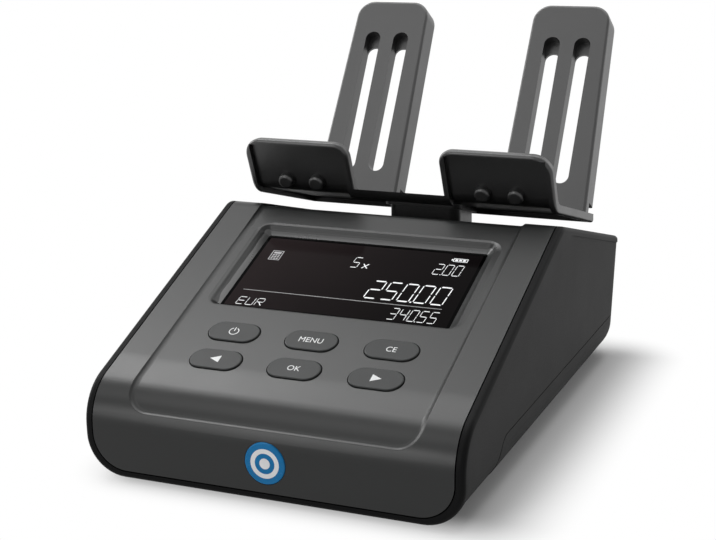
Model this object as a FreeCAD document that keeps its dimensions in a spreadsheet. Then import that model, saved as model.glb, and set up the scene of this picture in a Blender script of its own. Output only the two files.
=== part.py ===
"""Money counting scale: sloping cover with display and keys, tub, load cell, post and money tray.

Axes: +X to the right, the front faces -Y, +Z up, origin on the table under the middle. Millimetres.
"""
import FreeCAD, Part
import math
import os
import Sketcher

V = FreeCAD.Vector
DOC = FreeCAD.newDocument("money_scale")

SIZES = {
    # Casing, seen from the side
    "front_y": 116.0, "side_half": 69.5, "floor_z": 1.7, "wall": 2.4, "deck_wall": 3.2,
    "panel_tilt": 21.3, "panel_z": 76.74, "deck_tilt": 15.9, "deck_z": 73.3,
    "rear_y": 91.6, "rear_top_z": 47.2, "rear_lean": 12.0,
    "bend_radius": 17.4, "crest_radius": 8.0, "corner_radius": 16.0, "lower_radius": 14.5,
    "shoulder_radius": 1.8,
    # Clearances and small roundings used all over
    "screw_gap": 0.05, "hole_gap": 0.3, "way_gap": 0.25, "head_gap": 0.4, "foot_gap": 0.1,
    "badge_gap": 0.15, "contact_gap": 0.05, "small_corner": 1.0, "sunk": 0.2, "past": 1.0,
    "hair": 0.02, "ease": 0.9,
    # Line between the smooth band and the grained sides
    "grain_step": 0.35, "band_front_y": 112.4, "band_tilt": 17.7, "band_z": 66.7,
    "grain_top_z": 70.45, "grain_radius": 16.0, "grain_corner": 2.0,
    # Seam between housing and base
    "seam_z": 18.8, "seam_y": 79.0, "seam_gap": 0.35, "seam_radius": 8.0, "seam_deep": 0.9,
    # Screw columns
    "column_x": 52.0, "column_front_y": 61.0, "column_rear_y": 61.0, "column_radius": 3.8,
    "column_low_z": 7.0, "column_top_z": 34.0, "web_wall": 2.0, "case_screw": 1.45,
    "case_screw_long": 12.0,
    # Front cover
    "cover_half": 66.1, "cover_gap": 0.45, "cover_wall": 2.4, "cover_bottom": 4.7,
    "cover_rear_y": 6.0, "cover_corner": 12.5, "seat_wall": 1.8, "seat_width": 4.0,
    "recess_half": 54.5, "recess_depth": 1.0, "recess_sweep": 2.5, "recess_edge": 0.35, "rim_edge": 0.6,
    "ledge_z": 26.0, "ledge_corner": 9.0, "deck_recess_y": 70.0,
    # Display
    "glass_half": 44.6, "glass_top": 20.9, "glass_bottom": 66.6, "glass_top_depth": 4.1,
    "glass_tilt": 1.1, "glass_lip": 1.8, "glass_wall": 1.5, "rim_half": 47.8, "rim_top": 18.2,
    "rim_bottom": 68.8, "rim_corner": 3.2, "well_wall": 2.6, "well_corner": 2.0, "well_floor": 0.5,
    "glass_corner": 0.8,
    # Keys
    "key_pitch_x": 30.0, "key_row_one": 83.5, "key_row_two": 98.8, "key_long": 19.5,
    "key_wide": 10.1, "key_gap": 0.35, "key_proud": 0.6, "key_flange": 1.3,
    "key_flange_wall": 1.0, "key_play": 0.3, "key_travel": 0.8, "key_stem": 1.0, "key_edge": 0.5,
    "stem_radius": 3.0,
    # Boards under the panel
    "mat_dome": 1.3, "mat_wall": 1.0, "mat_slack": 0.1, "board_wall": 1.6, "board_half": 54.5,
    "board_top": 24.0, "board_bottom": 106.0, "boss_radius": 2.8, "boss_x": 50.9,
    "boss_top": 27.0, "boss_bottom": 101.0, "small_screw": 1.2, "lcd_half": 42.0, "lcd_high": 41.0,
    "lcd_wall": 2.0, "mat_edge": 11.5, "mat_rim": 6.9, "mat_corner": 3.0, "dome_rim": 1.0,
    "dome_lean": 20.0, "board_corner": 2.0, "small_head": 1.2, "small_head_high": 1.2,
    "small_screw_bite": 4.0, "buzzer_in": 12.0, "buzzer_up": 26.0, "buzzer_radius": 6.0,
    "buzzer_high": 5.0, "buzzer_hole": 1.0,
    # Badge
    "badge_radius": 7.4, "badge_z": 15.2, "badge_wall": 1.4, "badge_proud": 0.3,
    "badge_edge": 0.5,
    # Battery bay and its door
    "pack_long": 70.0, "pack_deep": 38.0, "pack_high": 19.0, "bay_y": 40.0, "bay_gap": 1.0,
    "bay_wall": 1.8, "door_long": 75.4, "door_deep": 43.0, "door_wall": 2.0, "door_gap": 0.3,
    "hinge_back": 0.9, "hinge_gap": 2.0, "hinge_z": 3.1, "pin_radius": 0.95, "pin_long": 1.5,
    "pin_gap": 0.06, "pin_slack": 0.4, "door_play": 0.2, "bay_corner": 2.0, "pack_lift": 0.4,
    "pack_corner": 4.0, "contact_wall": 0.4, "contact_wide": 6.0, "contact_pitch": 16.0,
    "contact_low": 4.0, "contact_high": 10.0, "grip_in": 7.0, "grip_long": 22.0, "grip_wide": 5.0,
    "grip_deep": 0.9,
    # Feet and case screws
    "foot_edge": 0.5, "foot_radius": 6.0, "foot_sunk": 1.2, "foot_x": 44.0,
    "foot_front_y": 70.0, "foot_rear_y": 50.0,
    "head_radius": 2.9, "head_high": 1.7, "head_z": 4.6, "column_foot": 5.0,
    # Sockets on the rear wall
    "port_up": 31.0, "port_deep": 14.0, "port_inset": 0.6, "port_gap": 0.3, "jack_x": -32.0,
    "usb_x": -8.0, "printer_x": 18.0, "jack_radius": 4.6, "jack_bore": 3.2, "jack_pin": 1.0,
    "usb_wide": 12.0, "usb_high": 10.8, "usb_skin": 0.8, "usb_tongue_wide": 5.6,
    "usb_tongue_high": 3.2, "printer_wide": 15.2, "printer_high": 13.2, "printer_open_wide": 11.8,
    "printer_open_high": 6.9, "socket_deep": 10.0, "port_board_left": -48.0,
    "port_board_right": 36.0, "port_board_low": 21.5, "port_board_high": 41.0,
    "socket_corner": 0.5, "mouth_corner": 0.4, "tongue_in": 1.5, "notch_half": 3.0,
    "notch_high": 2.2, "port_screw_in": 4.0, "port_screw_up": 4.5, "port_screw_bite": 6.0,
    # Load cell and post
    "cell_long": 80.0, "cell_side": 12.7, "cell_z": 14.0, "cell_y": 42.0, "cell_bolt_x": 33.0,
    "cell_bolt_pitch": 7.0, "cell_bolt": 2.0, "spacer": 2.0, "carrier_wall": 3.0,
    "cell_hole": 4.6, "cell_hole_x": 7.5, "cell_slot": 2.0, "pedestal_long": 19.0, "stop_gap": 0.8,
    "cell_bolt_down": 8.0, "cell_head": 3.4, "cell_head_high": 2.6,
    "pedestal_edge": 2.0, "stop_radius": 2.5, "stop_x": 23.5,
    "carrier_half": 12.0, "carrier_left": 17.0, "carrier_corner": 3.0, "post_screw_x": 9.0,
    "post_screw": 1.45, "post_head": 2.8,
    "post_head_high": 1.2, "post_screw_long": 10.0, "bolt_gap": 0.1,
    "post_wide": 30.0, "post_deep": 21.0, "post_corner": 4.0, "post_gap": 1.0,
    "spigot_corner": 2.0, "spigot_wide": 18.0, "spigot_deep": 10.0, "spigot_high": 2.0, "spigot_gap": 0.25,
    # Money tray
    "tray_half": 63.2, "tray_wall": 3.5, "tray_tilt": 16.6, "tray_top_z": 82.0, "tray_rear_y": 61.0,
    "lip_tilt": 21.1, "lip_y": 4.5, "lip_top_z": 99.8, "lip_inner": 18.8, "lip_bend": 10.0,
    "lip_corner_outer": 7.5, "lip_corner_inner": 5.5,
    "finger_tilt": 58.2, "finger_y": 57.8, "finger_top_z": 143.1, "finger_outer": 60.6,
    "finger_inner": 22.8, "finger_top_outer": 57.4, "finger_top_inner": 24.2, "finger_wall": 4.8,
    "finger_depth": 11.7, "finger_rim": 2.6, "finger_low": 6.0, "finger_bite": 1.2, "finger_corner": 7.6,
    "slot_wide": 6.9, "slot_x": 41.1, "slot_pitch": 13.2, "slot_low": 12.0, "slot_high": 77.2,
    "slot_wall": 1.6, "slot_deep": 5.0, "slot_well": 6.2, "slot_step": 5.6, "bump_radius": 3.2, "bump_high": 2.8,
    "bump_up": 1.3, "tray_edge": 1.2, "tray_rim": 2.4, "tray_dish": 2.0,
    "seat_rim": 1.5, "post_z_low": 40.0,
}

sheet = DOC.addObject("Spreadsheet::Sheet", "Size")
for row, (alias, number) in enumerate(SIZES.items(), 1):
    sheet.set("A%d" % row, alias)
    sheet.set("B%d" % row, str(number))
    sheet.setAlias("B%d" % row, alias)
DOC.recompute()


def size(name):
    """A driving dimension as a number."""
    return float(sheet.get(name))


def number(expression):
    """What an expression on the sheet's cells comes to."""
    result = scratch.evalExpression(str(expression))
    return float(getattr(result, "Value", result))


scratch = DOC.addObject("App::FeaturePython", "scratch")


def cells(text):
    """An expression whose words that are cell names are read from the sheet."""
    words = []
    word = ""
    for letter in text + " ":
        if letter.isalnum() or letter == "_":
            word += letter
            continue
        words.append("Size." + word if word in SIZES else word)
        words.append(letter)
        word = ""
    return "".join(words).strip()


def bind(owner, path, text):
    """Tie one property of an object to an expression on the sheet."""
    owner.setExpression(path, cells(text))


def new_body(label):
    body = DOC.addObject("PartDesign::Body", label)
    body.Label = label
    return body


def new_sketch(body, role, lift="0", tilt=None, shift=("0", "0")):
    """A sketch on one of the body's own planes, moved along its normal and tilted about its X."""
    sketch = body.newObject("Sketcher::SketchObject", body.Name + "_outline")
    plane = [item for item in body.Origin.OriginFeatures if item.Role == role][0]
    sketch.AttachmentSupport = (plane, [""])
    sketch.MapMode = "FlatFace"
    if tilt is not None:
        sketch.AttachmentOffset = FreeCAD.Placement(V(0, 0, 0), FreeCAD.Rotation(V(1, 0, 0), 10))
        bind(sketch, "AttachmentOffset.Rotation.Angle", tilt)
    bind(sketch, "AttachmentOffset.Base.x", shift[0])
    bind(sketch, "AttachmentOffset.Base.y", shift[1])
    bind(sketch, "AttachmentOffset.Base.z", lift)
    return sketch


def hold_point(sketch, geometry, end, across, along):
    """Fix a point of a sketch at two expressions from the sketch's origin."""
    point = sketch.getPoint(geometry, end)
    first = sketch.addConstraint(Sketcher.Constraint("DistanceX", -1, 1, geometry, end, point.x))
    second = sketch.addConstraint(Sketcher.Constraint("DistanceY", -1, 1, geometry, end, point.y))
    bind(sketch, "Constraints[%d]" % first, across)
    bind(sketch, "Constraints[%d]" % second, along)


def draw_outline(sketch, corners):
    """Draw a closed outline from (across, along) or (across, along, radius) expressions."""
    points = [V(number(cells(c[0])), number(cells(c[1])), 0) for c in corners]
    radii = [c[2] if len(c) > 2 else None for c in corners]
    count = len(corners)
    starts, ends, arcs = [], [], []
    for i in range(count):
        here = points[i]
        back = (points[i - 1] - here).normalize()
        ahead = (points[(i + 1) % count] - here).normalize()
        if radii[i] is None:
            starts.append(here)
            ends.append(here)
            arcs.append(None)
            continue
        radius = number(cells(radii[i]))
        half = back.getAngle(ahead) / 2
        reach = radius / math.tan(half)
        middle = here + (back + ahead).normalize() * (radius / math.sin(half))
        begin = here + back * reach
        finish = here + ahead * reach
        nearest = middle + (here - middle).normalize() * radius
        starts.append(begin)
        ends.append(finish)
        arcs.append(Part.Arc(begin, nearest, finish))
    lines = []
    for i in range(count):
        lines.append(sketch.addGeometry(Part.LineSegment(ends[i], starts[(i + 1) % count])))
    for i in range(count):
        before = lines[i - 1]
        after = lines[i]
        if arcs[i] is None:
            sketch.addConstraint(Sketcher.Constraint("Coincident", before, 2, after, 1))
            hold_point(sketch, after, 1, corners[i][0], corners[i][1])
            continue
        arc = sketch.addGeometry(arcs[i])
        first, last = 1, 2
        if sketch.getPoint(arc, 1).distanceToPoint(starts[i]) > 1e-6:
            first, last = 2, 1
        mark = sketch.addGeometry(Part.Point(points[i]), True)
        hold_point(sketch, mark, 1, corners[i][0], corners[i][1])
        sketch.addConstraint(Sketcher.Constraint("PointOnObject", mark, 1, before))
        sketch.addConstraint(Sketcher.Constraint("PointOnObject", mark, 1, after))
        sketch.addConstraint(Sketcher.Constraint("Tangent", before, 2, arc, first))
        sketch.addConstraint(Sketcher.Constraint("Tangent", arc, last, after, 1))
        turn = sketch.addConstraint(Sketcher.Constraint("Radius", arc, number(cells(radii[i]))))
        bind(sketch, "Constraints[%d]" % turn, radii[i])
    return sketch


def draw_box(sketch, low, high, radius=None):
    """A rectangle between two corners, with or without round corners."""
    corners = [(low[0], low[1]), (high[0], low[1]), (high[0], high[1]), (low[0], high[1])]
    if radius is not None:
        corners = [corner + (radius,) for corner in corners]
    return draw_outline(sketch, corners)


def draw_pill(sketch, across, along, long, wide):
    """A pill of a given length and width, lying along the sketch's X."""
    left = "(%s) - ((%s) - (%s))/2" % (across, long, wide)
    right = "(%s) + ((%s) - (%s))/2" % (across, long, wide)
    low = V(number(cells(left)), number(cells(along)), 0)
    high = V(number(cells(right)), number(cells(along)), 0)
    turn = number(cells(wide)) / 2
    up = V(0, turn, 0)
    side = V(turn, 0, 0)
    bottom = sketch.addGeometry(Part.LineSegment(low - up, high - up))
    nose = sketch.addGeometry(Part.Arc(high - up, high + side, high + up))
    top = sketch.addGeometry(Part.LineSegment(high + up, low + up))
    tail = sketch.addGeometry(Part.Arc(low + up, low - side, low - up))
    for before, after in ((bottom, nose), (nose, top), (top, tail), (tail, bottom)):
        sketch.addConstraint(Sketcher.Constraint("Tangent", before, 2, after, 1))
    hold_point(sketch, nose, 3, right, along)
    hold_point(sketch, tail, 3, left, along)
    radius = sketch.addConstraint(Sketcher.Constraint("Radius", nose, turn))
    bind(sketch, "Constraints[%d]" % radius, "(%s)/2" % wide)
    return sketch


def draw_circle(sketch, across, along, radius):
    middle = V(number(cells(across)), number(cells(along)), 0)
    turn = number(cells(radius))
    circle = sketch.addGeometry(Part.Circle(middle, V(0, 0, 1), turn))
    hold_point(sketch, circle, 3, across, along)
    held = sketch.addConstraint(Sketcher.Constraint("Radius", circle, turn))
    bind(sketch, "Constraints[%d]" % held, radius)
    return sketch


def pad(body, sketch, length, both=False, back=False, taper=None):
    """Raise a sketch: both ways by half the length, forwards, or back against its normal."""
    return extrude(body, "PartDesign::Pad", sketch, length, both, back, taper)


def pocket(body, sketch, length, both=False, back=False, taper=None):
    """Cut a sketch into the body against its normal, or along it when back is set."""
    return extrude(body, "PartDesign::Pocket", sketch, length, both, back, taper)


def extrude(body, kind, sketch, length, both, back, taper):
    DOC.recompute()
    before = body.Shape.Volume if body.Tip is not None else 0.0
    feature = body.newObject(kind, body.Name + "_step")
    feature.Profile = sketch
    feature.SideType = "Symmetric" if both else "One side"
    feature.Reversed = back
    bind(feature, "Length", length)
    if taper is not None:
        bind(feature, "TaperAngle", taper)
    DOC.recompute()
    check_change(body, feature, before)
    return feature


def check_change(body, feature, before):
    """Stop when a step failed or left the volume as it was."""
    if "Invalid" in feature.State or "Error" in feature.State:
        raise RuntimeError("%s failed in %s" % (feature.Name, body.Label))
    if abs(feature.Shape.Volume - before) < 1e-6:
        raise RuntimeError("%s changed nothing in %s" % (feature.Name, body.Label))


def combine(body, kind, tools):
    """Cut, fuse or keep the common part of the body and other bodies."""
    DOC.recompute()
    before = body.Shape.Volume
    feature = body.newObject("PartDesign::Boolean", body.Name + "_" + kind.lower())
    feature.Type = kind
    feature.Group = tools
    body.Tip = feature
    DOC.recompute()
    check_change(body, feature, before)
    return feature


def round_edges(body, radius, test):
    """Round every edge of the body's last shape that the test picks."""
    DOC.recompute()
    base = body.Tip
    names = ["Edge%d" % (i + 1) for i, edge in enumerate(base.Shape.Edges) if test(edge)]
    if not names:
        raise RuntimeError("no edge to round in " + body.Label)
    before = base.Shape.Volume
    feature = body.newObject("PartDesign::Fillet", body.Name + "_round")
    feature.Base = (base, names)
    bind(feature, "Radius", radius)
    DOC.recompute()
    check_change(body, feature, before)
    return feature


NEAR = 0.02


def ends(edge):
    return [vertex.Point for vertex in edge.Vertexes]


def runs_along(axis, **place):
    """A test for straight edges along an axis, at given places such as x=1.0 or abs_x=1.0."""
    def test(edge):
        points = ends(edge)
        if len(points) != 2:
            return False
        line = points[1] - points[0]
        if abs(getattr(line.normalize(), axis)) < 0.999:
            return False
        return at_place(points, place)
    return test


def at_place(points, place):
    for key, wanted in place.items():
        axis = key[-1]
        for point in points:
            value = getattr(point, axis)
            if key.startswith("abs_"):
                value = abs(value)
            if abs(value - wanted) > NEAR:
                return False
    return True


# The casing's lines, seen from the side, at a depth below the outer skin

def panel_line(along, drop="0"):
    return "(panel_z + tan(panel_tilt)*(%s) - (%s)/cos(panel_tilt))" % (along, drop)


def deck_line(along, drop="0"):
    return "(deck_z - tan(deck_tilt)*(%s) - (%s)/cos(deck_tilt))" % (along, drop)


def crest_y(panel_drop="0", deck_drop="0"):
    top = "(deck_z - (%s)/cos(deck_tilt) - panel_z + (%s)/cos(panel_tilt))" % (deck_drop, panel_drop)
    return top + "/(tan(panel_tilt) + tan(deck_tilt))"


def rear_line(height, drop="0"):
    return "(rear_y - (rear_top_z - (%s))*tan(rear_lean) - (%s)/cos(rear_lean))" % (height, drop)


def rear_top_y(deck_drop="0", rear_drop="0"):
    start = rear_line("deck_z - (%s)/cos(deck_tilt)" % deck_drop, rear_drop)
    return "(%s)/(1 + tan(deck_tilt)*tan(rear_lean))" % start


def case_block(label, side, front, panel_drop, deck_drop, rear_drop, low, trim="0", shoulder=None):
    """The casing's form as one solid, drawn in by the given wall thicknesses."""
    body = new_body(label)
    crest = crest_y(panel_drop, deck_drop)
    rear = rear_top_y(deck_drop, rear_drop)
    front_at = "-(front_y - (%s))" % front
    outline = new_sketch(body, "YZ_Plane")
    draw_outline(outline, [
        (front_at, low),
        (front_at, panel_line(front_at, panel_drop)),
        (crest, panel_line(crest, panel_drop)),
        (rear, deck_line(rear, deck_drop)),
        (rear_line(low, rear_drop), low),
    ])
    pad(body, outline, "2*(%s)" % side, both=True)
    half = number(cells(side))
    floor = number(cells(low))
    front_number = number(cells(front_at))
    crest_number = number(cells(crest))
    rear_number = number(cells(rear))

    def rear_corner(edge):
        points = ends(edge)
        tall = abs(points[0].z - points[1].z) > 20
        return tall and min(p.y for p in points) > crest_number + 20

    round_edges(body, "corner_radius - (%s)" % trim, rear_corner)

    def lower_edge(edge):
        points = ends(edge)
        flat = all(abs(p.z - floor) < NEAR for p in points)
        return flat and not all(abs(p.y - front_number) < NEAR for p in points)

    round_edges(body, "lower_radius - (%s)" % trim, lower_edge)
    bend = runs_along("x", y=front_number)

    def upper_front(edge):
        return bend(edge) and ends(edge)[0].z > floor + 5

    round_edges(body, "bend_radius - (%s)" % front, upper_front)
    round_edges(body, "crest_radius - ease*(%s)" % front, runs_along("x", y=crest_number))
    if shoulder is not None:
        def rim(edge):
            points = ends(edge)
            middle = edge.valueAt((edge.FirstParameter + edge.LastParameter) / 2)
            return all(abs(p.y - front_number) < NEAR for p in points + [middle])
        round_edges(body, shoulder, rim)
    return body


SEAT = "(cover_wall + seat_wall)"
BEYOND = "10"


def mirrored_points(across, along):
    """The four corners of a rectangle about the YZ plane, from two places along Y."""
    places = []
    for y in along:
        places.append((across, y))
        places.append(("-(%s)" % across, y))
    return places


def box_body(label, role, low, high, lift, length, radius=None, both=False, tilt=None):
    """A padded rectangle, mostly a cutting tool."""
    body = new_body(label)
    outline = new_sketch(body, role, lift, tilt)
    draw_box(outline, low, high, radius)
    pad(body, outline, length, both=both)
    return body


def seam_tool(label, inward="0"):
    """Everything below the seam and behind its front end, drawn in for the groove's far side."""
    body = new_body(label)
    outline = new_sketch(body, "YZ_Plane")
    front = "-(seam_y - (%s))" % inward
    top = "seam_z - (%s)" % inward
    back = "rear_y + " + BEYOND
    draw_outline(outline, [
        (front, "-" + BEYOND), (front, top, "seam_radius"), (back, top), (back, "-" + BEYOND)])
    pad(body, outline, "2*side_half + 2*" + BEYOND, both=True)
    return body


def inset_block(label, inset):
    """The casing's form with its side and rear walls drawn in a little."""
    return case_block(label, "side_half - " + inset, "0", "0", "0", inset, "floor_z + " + inset,
                      trim=inset)


def grain_tool(label):
    """The skin that is taken off the sides and rear to leave their grained faces set back."""
    body = new_body(label)
    outline = new_sketch(body, "YZ_Plane")
    front = "-band_front_y"
    corner_z = "(band_z - band_front_y*tan(band_tilt))"
    top_y = "(grain_top_z - band_z)/(tan(band_tilt) + tan(deck_tilt))"
    back = "rear_y + " + BEYOND
    draw_outline(outline, [
        (front, "-" + BEYOND), (front, corner_z, "grain_radius"),
        (top_y, "band_z + (%s)*tan(band_tilt)" % top_y, "grain_corner"),
        (back, "grain_top_z - (%s)*tan(deck_tilt)" % back), (back, "-" + BEYOND)])
    pad(body, outline, "2*side_half + 2*" + BEYOND, both=True)
    combine(body, "Cut", [inset_block(label + "_core", "grain_step")])
    return body


def cover_profile(sketch, gap="0", outer=None):
    """The cover seen from the side: its skin, or a limit above it, and its inner face."""
    low = "cover_bottom - (%s)" % gap
    back = "cover_rear_y + (%s)" % gap
    front_in = "-(front_y - cover_wall)"
    crest_in = crest_y("cover_wall", "cover_wall")
    inner = [
        (back, deck_line(back, "cover_wall")),
        (crest_in, panel_line(crest_in, "cover_wall"), "crest_radius - ease*cover_wall"),
        (front_in, panel_line(front_in, "cover_wall"), "bend_radius - cover_wall"),
        (front_in, low),
    ]
    if outer is None:
        crest = crest_y()
        skin = [
            ("-front_y", low),
            ("-front_y", panel_line("-front_y"), "bend_radius"),
            (crest, panel_line(crest), "crest_radius"),
            (back, deck_line(back)),
        ]
    else:
        skin = [("-front_y - " + outer, low), ("-front_y - " + outer, "deck_z + " + outer),
                (back, "deck_z + " + outer)]
    return draw_outline(sketch, skin + inner)


def cover_block(label, gap="0", outer=None):
    """The cover's plate, or with a gap and an outer limit the seat that it lies in."""
    body = new_body(label)
    cover_profile(new_sketch(body, "YZ_Plane"), gap, outer)
    half = "cover_half + (%s)" % gap
    pad(body, body.Group[-1], "2*(%s)" % half, both=True)
    low = number(cells("cover_bottom - (%s)" % gap))
    round_edges(body, "cover_corner + (%s)" % gap,
                runs_along("y", z=low, abs_x=number(cells(half))))
    return body


COLUMNS = mirrored_points("column_x", ("-column_front_y", "column_rear_y"))


def main_housing():
    body = case_block("main_housing", "side_half", "0", "0", "0", "0", "floor_z",
                      shoulder="shoulder_radius")
    hollow = case_block("housing_hollow", "side_half - wall", SEAT, SEAT, "deck_wall", "wall",
                        "floor_z + wall", trim="wall")
    combine(body, "Cut", [hollow])
    combine(body, "Cut", [cover_block("cover_seat", "cover_gap", BEYOND)])
    opening = box_body("panel_opening", "YZ_Plane",
                       ("-front_y - " + BEYOND, "cover_bottom + seat_width"),
                       ("cover_rear_y - seat_width", "deck_z + " + BEYOND),
                       "0", "2*(cover_half - seat_width)", both=True)
    combine(body, "Cut", [opening])
    combine(body, "Cut", [seam_tool("housing_seam")])
    combine(body, "Cut", [grain_tool("grain_skin")])
    recess = new_sketch(body, "XY_Plane", "deck_z", "-deck_tilt")
    draw_box(recess, ("-recess_half", "0"), ("recess_half", "deck_recess_y/cos(deck_tilt)"),
             "ledge_corner")
    pocket(body, recess, "recess_depth")
    hole = new_sketch(body, "XY_Plane", "deck_z")
    draw_box(hole, ("-post_wide/2 - post_gap", "cell_y - post_deep/2 - post_gap"),
             ("post_wide/2 + post_gap", "cell_y + post_deep/2 + post_gap"), "post_corner + post_gap")
    pocket(body, hole, "deck_z - column_top_z - past")
    for across, along in COLUMNS:
        column = new_sketch(body, "XY_Plane", "column_low_z")
        draw_circle(column, across, along, "column_radius")
        pad(body, column, "column_top_z - column_low_z")
        web = new_sketch(body, "XY_Plane", "seam_z + past")
        side = -1 if across.startswith("-") else 1
        far = "%d*(side_half - wall + sunk)" % side
        near = "%d*column_x" % side
        low, high = (far, near) if side < 0 else (near, far)
        draw_box(web, (low, along + " - web_wall/2"), (high, along + " + web_wall/2"))
        pad(body, web, "column_top_z - seam_z - past")
        pilot = new_sketch(body, "XY_Plane", "column_low_z")
        draw_circle(pilot, across, along, "case_screw + screw_gap")
        pocket(body, pilot, "case_screw_long", back=True)
    return body


def panel_sketch(body, drop="0"):
    """A sketch parallel to the sloping panel, at a depth below it; its Y runs up the slope."""
    lift = "panel_z - (%s)*cos(panel_tilt)" % drop
    return new_sketch(body, "XY_Plane", lift, "panel_tilt", ("0", "(%s)*sin(panel_tilt)" % drop))


def glass_sketch(body, drop="0"):
    """A sketch on the display window's own plane; its Y is 0 at the window's top edge."""
    lean = "(panel_tilt - glass_tilt)"
    along = "-glass_top*cos(panel_tilt) + glass_top_depth*sin(panel_tilt) + (%s)*sin%s" % (drop, lean)
    lift = ("panel_z - glass_top*sin(panel_tilt) - glass_top_depth*cos(panel_tilt) - (%s)*cos%s"
            % (drop, lean))
    return new_sketch(body, "XY_Plane", lift, lean, ("0", along))


def rear_sketch(body, depth="0"):
    """A sketch parallel to the rear wall, at a depth inside it; its Y runs up the wall."""
    lift = "rear_top_z*tan(rear_lean) - rear_y + (%s)*cos(rear_lean)" % depth
    return new_sketch(body, "XZ_Plane", lift, "-rear_lean", ("0", "(%s)*sin(rear_lean)" % depth))


def base_shell():
    body = case_block("base_shell", "side_half - grain_step", "0", "0", "0", "grain_step", "floor_z",
                      trim="grain_step")
    hollow = case_block("base_hollow", "side_half - wall", SEAT, SEAT, "deck_wall", "wall",
                        "floor_z + wall", trim="wall")
    combine(body, "Cut", [hollow])
    combine(body, "Common", [seam_tool("base_seam")])
    groove = seam_tool("seam_groove")
    combine(groove, "Cut", [seam_tool("groove_inside", "seam_gap")])
    combine(groove, "Cut", [inset_block("groove_core", "seam_deep")])
    combine(body, "Cut", [groove])
    add_battery_bay(body)
    for across, along in COLUMNS:
        boss = new_sketch(body, "XY_Plane", "floor_z + wall - sunk")
        draw_circle(boss, across, along, "column_foot")
        pad(body, boss, "column_low_z - floor_z - wall + sunk")
        sink = new_sketch(body, "XY_Plane", "0")
        draw_circle(sink, across, along, "head_radius + head_gap")
        pocket(body, sink, "head_z", back=True)
        way = new_sketch(body, "XY_Plane", "0")
        draw_circle(way, across, along, "case_screw + way_gap")
        pocket(body, way, "column_low_z + past", back=True)
    for across, along in FEET:
        seat = new_sketch(body, "XY_Plane", "0")
        draw_circle(seat, across, along, "foot_radius + foot_gap")
        pocket(body, seat, "floor_z + foot_sunk", back=True)
    add_cell_seat(body)
    return body


FEET = mirrored_points("foot_x", ("-foot_front_y", "foot_rear_y"))
BAY_HALF = "(pack_long/2 + bay_gap)"
BAY_DEEP = "(pack_deep/2 + bay_gap)"
BAY_ROOF = "(floor_z + door_wall + pack_high + bay_gap)"
HINGE_Y = "(door_deep/2 - hinge_back - bay_y)"


def add_battery_bay(body):
    """The box for the battery, open below, with a step round its mouth for the door."""
    mouth = "(door_long/2 + door_gap)"
    front = "-bay_y - door_deep/2 - door_gap"
    back = HINGE_Y + " + hinge_gap"
    walls = new_sketch(body, "XY_Plane", "floor_z + wall - sunk")
    draw_box(walls, ("-%s - bay_wall" % mouth, front + " - bay_wall"),
             (mouth + " + bay_wall", back + " + bay_wall"), "bay_corner")
    pad(body, walls, BAY_ROOF + " + bay_wall - floor_z - wall + sunk")
    inside = new_sketch(body, "XY_Plane", "0")
    draw_box(inside, ("-" + BAY_HALF, "-bay_y - " + BAY_DEEP), (BAY_HALF, "-bay_y + " + BAY_DEEP),
             "small_corner")
    pocket(body, inside, BAY_ROOF, back=True)
    step = new_sketch(body, "XY_Plane", "0")
    draw_box(step, ("-" + mouth, front), (mouth, back), "small_corner")
    pocket(body, step, "floor_z + door_wall + door_play", back=True)
    pins = new_sketch(body, "YZ_Plane")
    draw_circle(pins, HINGE_Y, "hinge_z", "pin_radius + pin_gap")
    pocket(body, pins, "door_long + 2*pin_long + pin_slack", both=True)
    swing = new_sketch(body, "YZ_Plane")
    draw_circle(swing, HINGE_Y, "hinge_z", "hinge_gap")
    pocket(body, swing, "2*" + mouth, both=True)


def add_cell_seat(body):
    """The pedestal under the load cell's fixed end, and the stop under its free end."""
    low = "floor_z + wall - sunk"
    pedestal = new_sketch(body, "XY_Plane", low)
    draw_box(pedestal, ("-cell_long/2 - pedestal_edge/2", "cell_y - cell_side/2 - pedestal_edge"),
             ("-cell_long/2 + pedestal_long", "cell_y + cell_side/2 + pedestal_edge"),
             "pedestal_edge")
    pad(body, pedestal, "cell_z - floor_z - wall + sunk")
    for step in (-1, 1):
        hole = new_sketch(body, "XY_Plane", "cell_z")
        draw_circle(hole, "-cell_bolt_x + %d*cell_bolt_pitch/2" % step, "cell_y", "cell_bolt + screw_gap")
        pocket(body, hole, "cell_bolt_down + past/2")
    stop = new_sketch(body, "XY_Plane", low)
    draw_circle(stop, "stop_x", "cell_y", "stop_radius")
    pad(body, stop, "cell_z - stop_gap - floor_z - wall + sunk")


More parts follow.
